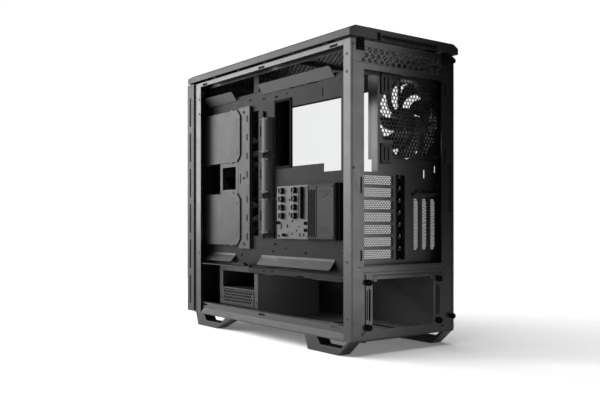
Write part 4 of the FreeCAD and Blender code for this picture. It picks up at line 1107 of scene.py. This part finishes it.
def swept_blade():
    """A blade along the radius, in the fan's own plane, z along the shaft."""
    shape = bmesh.new()
    bmesh.ops.create_grid(shape, x_segments=10, y_segments=6, size=0.5)
    for corner in shape.verts:
        out, chord = corner.co.x + 0.5, corner.co.y
        radius = HUB - 1 + (TIP - HUB + 1) * out
        sweep = chord * radians(44 - 12 * out) - radians(38) * out ** 1.4
        camber = 3.0 * (1 - 4 * chord ** 2) * (1 - 0.5 * out)
        corner.co = Vector((radius * cos(sweep), radius * sin(sweep), chord * (17 - 6 * out) + camber))
    bmesh.ops.recalc_face_normals(shape, faces=shape.faces)
    bmesh.ops.solidify(shape, geom=shape.faces[:], thickness=1.5)
    return shape


# %% A rotor: blades and a domed hub
def rotor(node, name, body):
    """Blades and hub in place of a plain rotor."""
    u, r, z = span(node)
    middle = Vector((sum(u) / 2, sum(z) / 2, -sum(r) / 2))
    whole = bmesh.new()
    for turn in range(BLADES):
        blade = swept_blade()
        bmesh.ops.rotate(blade, verts=blade.verts, matrix=Matrix.Rotation(2 * pi * turn / BLADES, 3, "Z"))
        add(whole, blade)
    for base, top, low, high in ((HUB_SHELL, HUB_SHELL, -8.5, 7.5), (HUB_SHELL, 18.2, 7.5, 9.0)):
        bmesh.ops.create_cone(whole, cap_ends=True, segments=48, radius1=base, radius2=top,
                              depth=high - low, matrix=Matrix.Translation((0, 0, (low + high) / 2)))
    bmesh.ops.translate(whole, verts=whole.verts, vec=middle)
    piece(name, whole, REAR_WALL, FINISHES["fan_plastic"], [node], body)


for place in ("rear", "lower_front", "upper_front"):
    rotor(f"{place}_fan_rotor", f"{place}_fan_blades", f"{place}_fan")

# %% [markdown]
# ## Front and glass
# The front panel breathes through long slots at its sides, with filter cloth behind them. The pane has
# a black fired border on its inner face, which hides the frame behind it.

# %% Filter cloth inside the front panel
cloth = bmesh.new()
for u in ((1.4, 1.9), (234.1, 234.6)):
    slab(cloth, (514, 531), (34, 500), u, 0.1)
piece("side_filter_cloth", cloth, SIDE_WALL, MESH_CLOTH, body="front")

# %% The printed border of the pane
PANE_U, PANE_R, PANE_Z = span("glass_panel")
border = punched_sheet(PANE_R, PANE_Z, (PANE_U[0] - 0.3, PANE_U[0] - 0.05), [
    ((PANE_R[0] + 16, PANE_R[1] - 16), (PANE_Z[0] + 16, PANE_Z[1] - 30))], 3)
piece("pane_border", border, SIDE_WALL, PLASTIC, body="glass")

# %% [markdown]
# ## Everything else keeps its shape
# The remaining parts are right as they are, but their edges are knife sharp and would catch no light.
# A copy of each has its triangles merged back into flat faces, and its edges are rounded by a hair.


# %% Round the edges of a copy
def soften(node, finish, rounding):
    """A copy of a part with merged faces and rounded edges stands for it."""
    source = frame["nodes"][node]
    shape = bmesh.new()
    shape.from_mesh(source.data)
    bmesh.ops.remove_doubles(shape, verts=shape.verts, dist=1e-5)
    bmesh.ops.dissolve_limit(shape, angle_limit=radians(1), verts=shape.verts, edges=shape.edges)
    sharp = [e for e in shape.edges if e.is_manifold and e.calc_face_angle(0) > radians(30)]
    bmesh.ops.bevel(shape, geom=sharp, offset=rounding * MM, segments=2, profile=0.5, affect="EDGES",
                    clamp_overlap=True, material=-1)
    made = stand(node + "_rounded", shape, finish)
    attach(made, body_of(source)[0])
    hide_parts(node)
    return len(made.data.polygons)


THICK = ("rear_right_foot", "rear_left_foot", "front_right_foot", "front_left_foot", "top_cover",
         "front_panel", "io_strip", "rear_fan_frame", "lower_front_fan_frame", "upper_front_fan_frame")
# The shroud, cage and base pan take the lighter steel: painted light that lifts the dim power-supply
# chamber.
PAINTED_LIT_WALLS = ("psu_shroud", "drive_cage", "base_pan")
WIDE_EDGE, THIN_EDGE = 0.9, 0.3
total = 0
for node, source in frame["nodes"].items():
    slot_name = source.material_slots[0].material.name
    finish = PAINTED_LIT_STEEL if node in PAINTED_LIT_WALLS else FINISHES[slot_name]
    if source.hide_render:
        continue
    if slot_name == "clear_glass":
        source.material_slots[0].material = finish
        continue
    total += soften(node, finish, WIDE_EDGE if node in THICK else THIN_EDGE)
print("softened parts have", total, "faces")
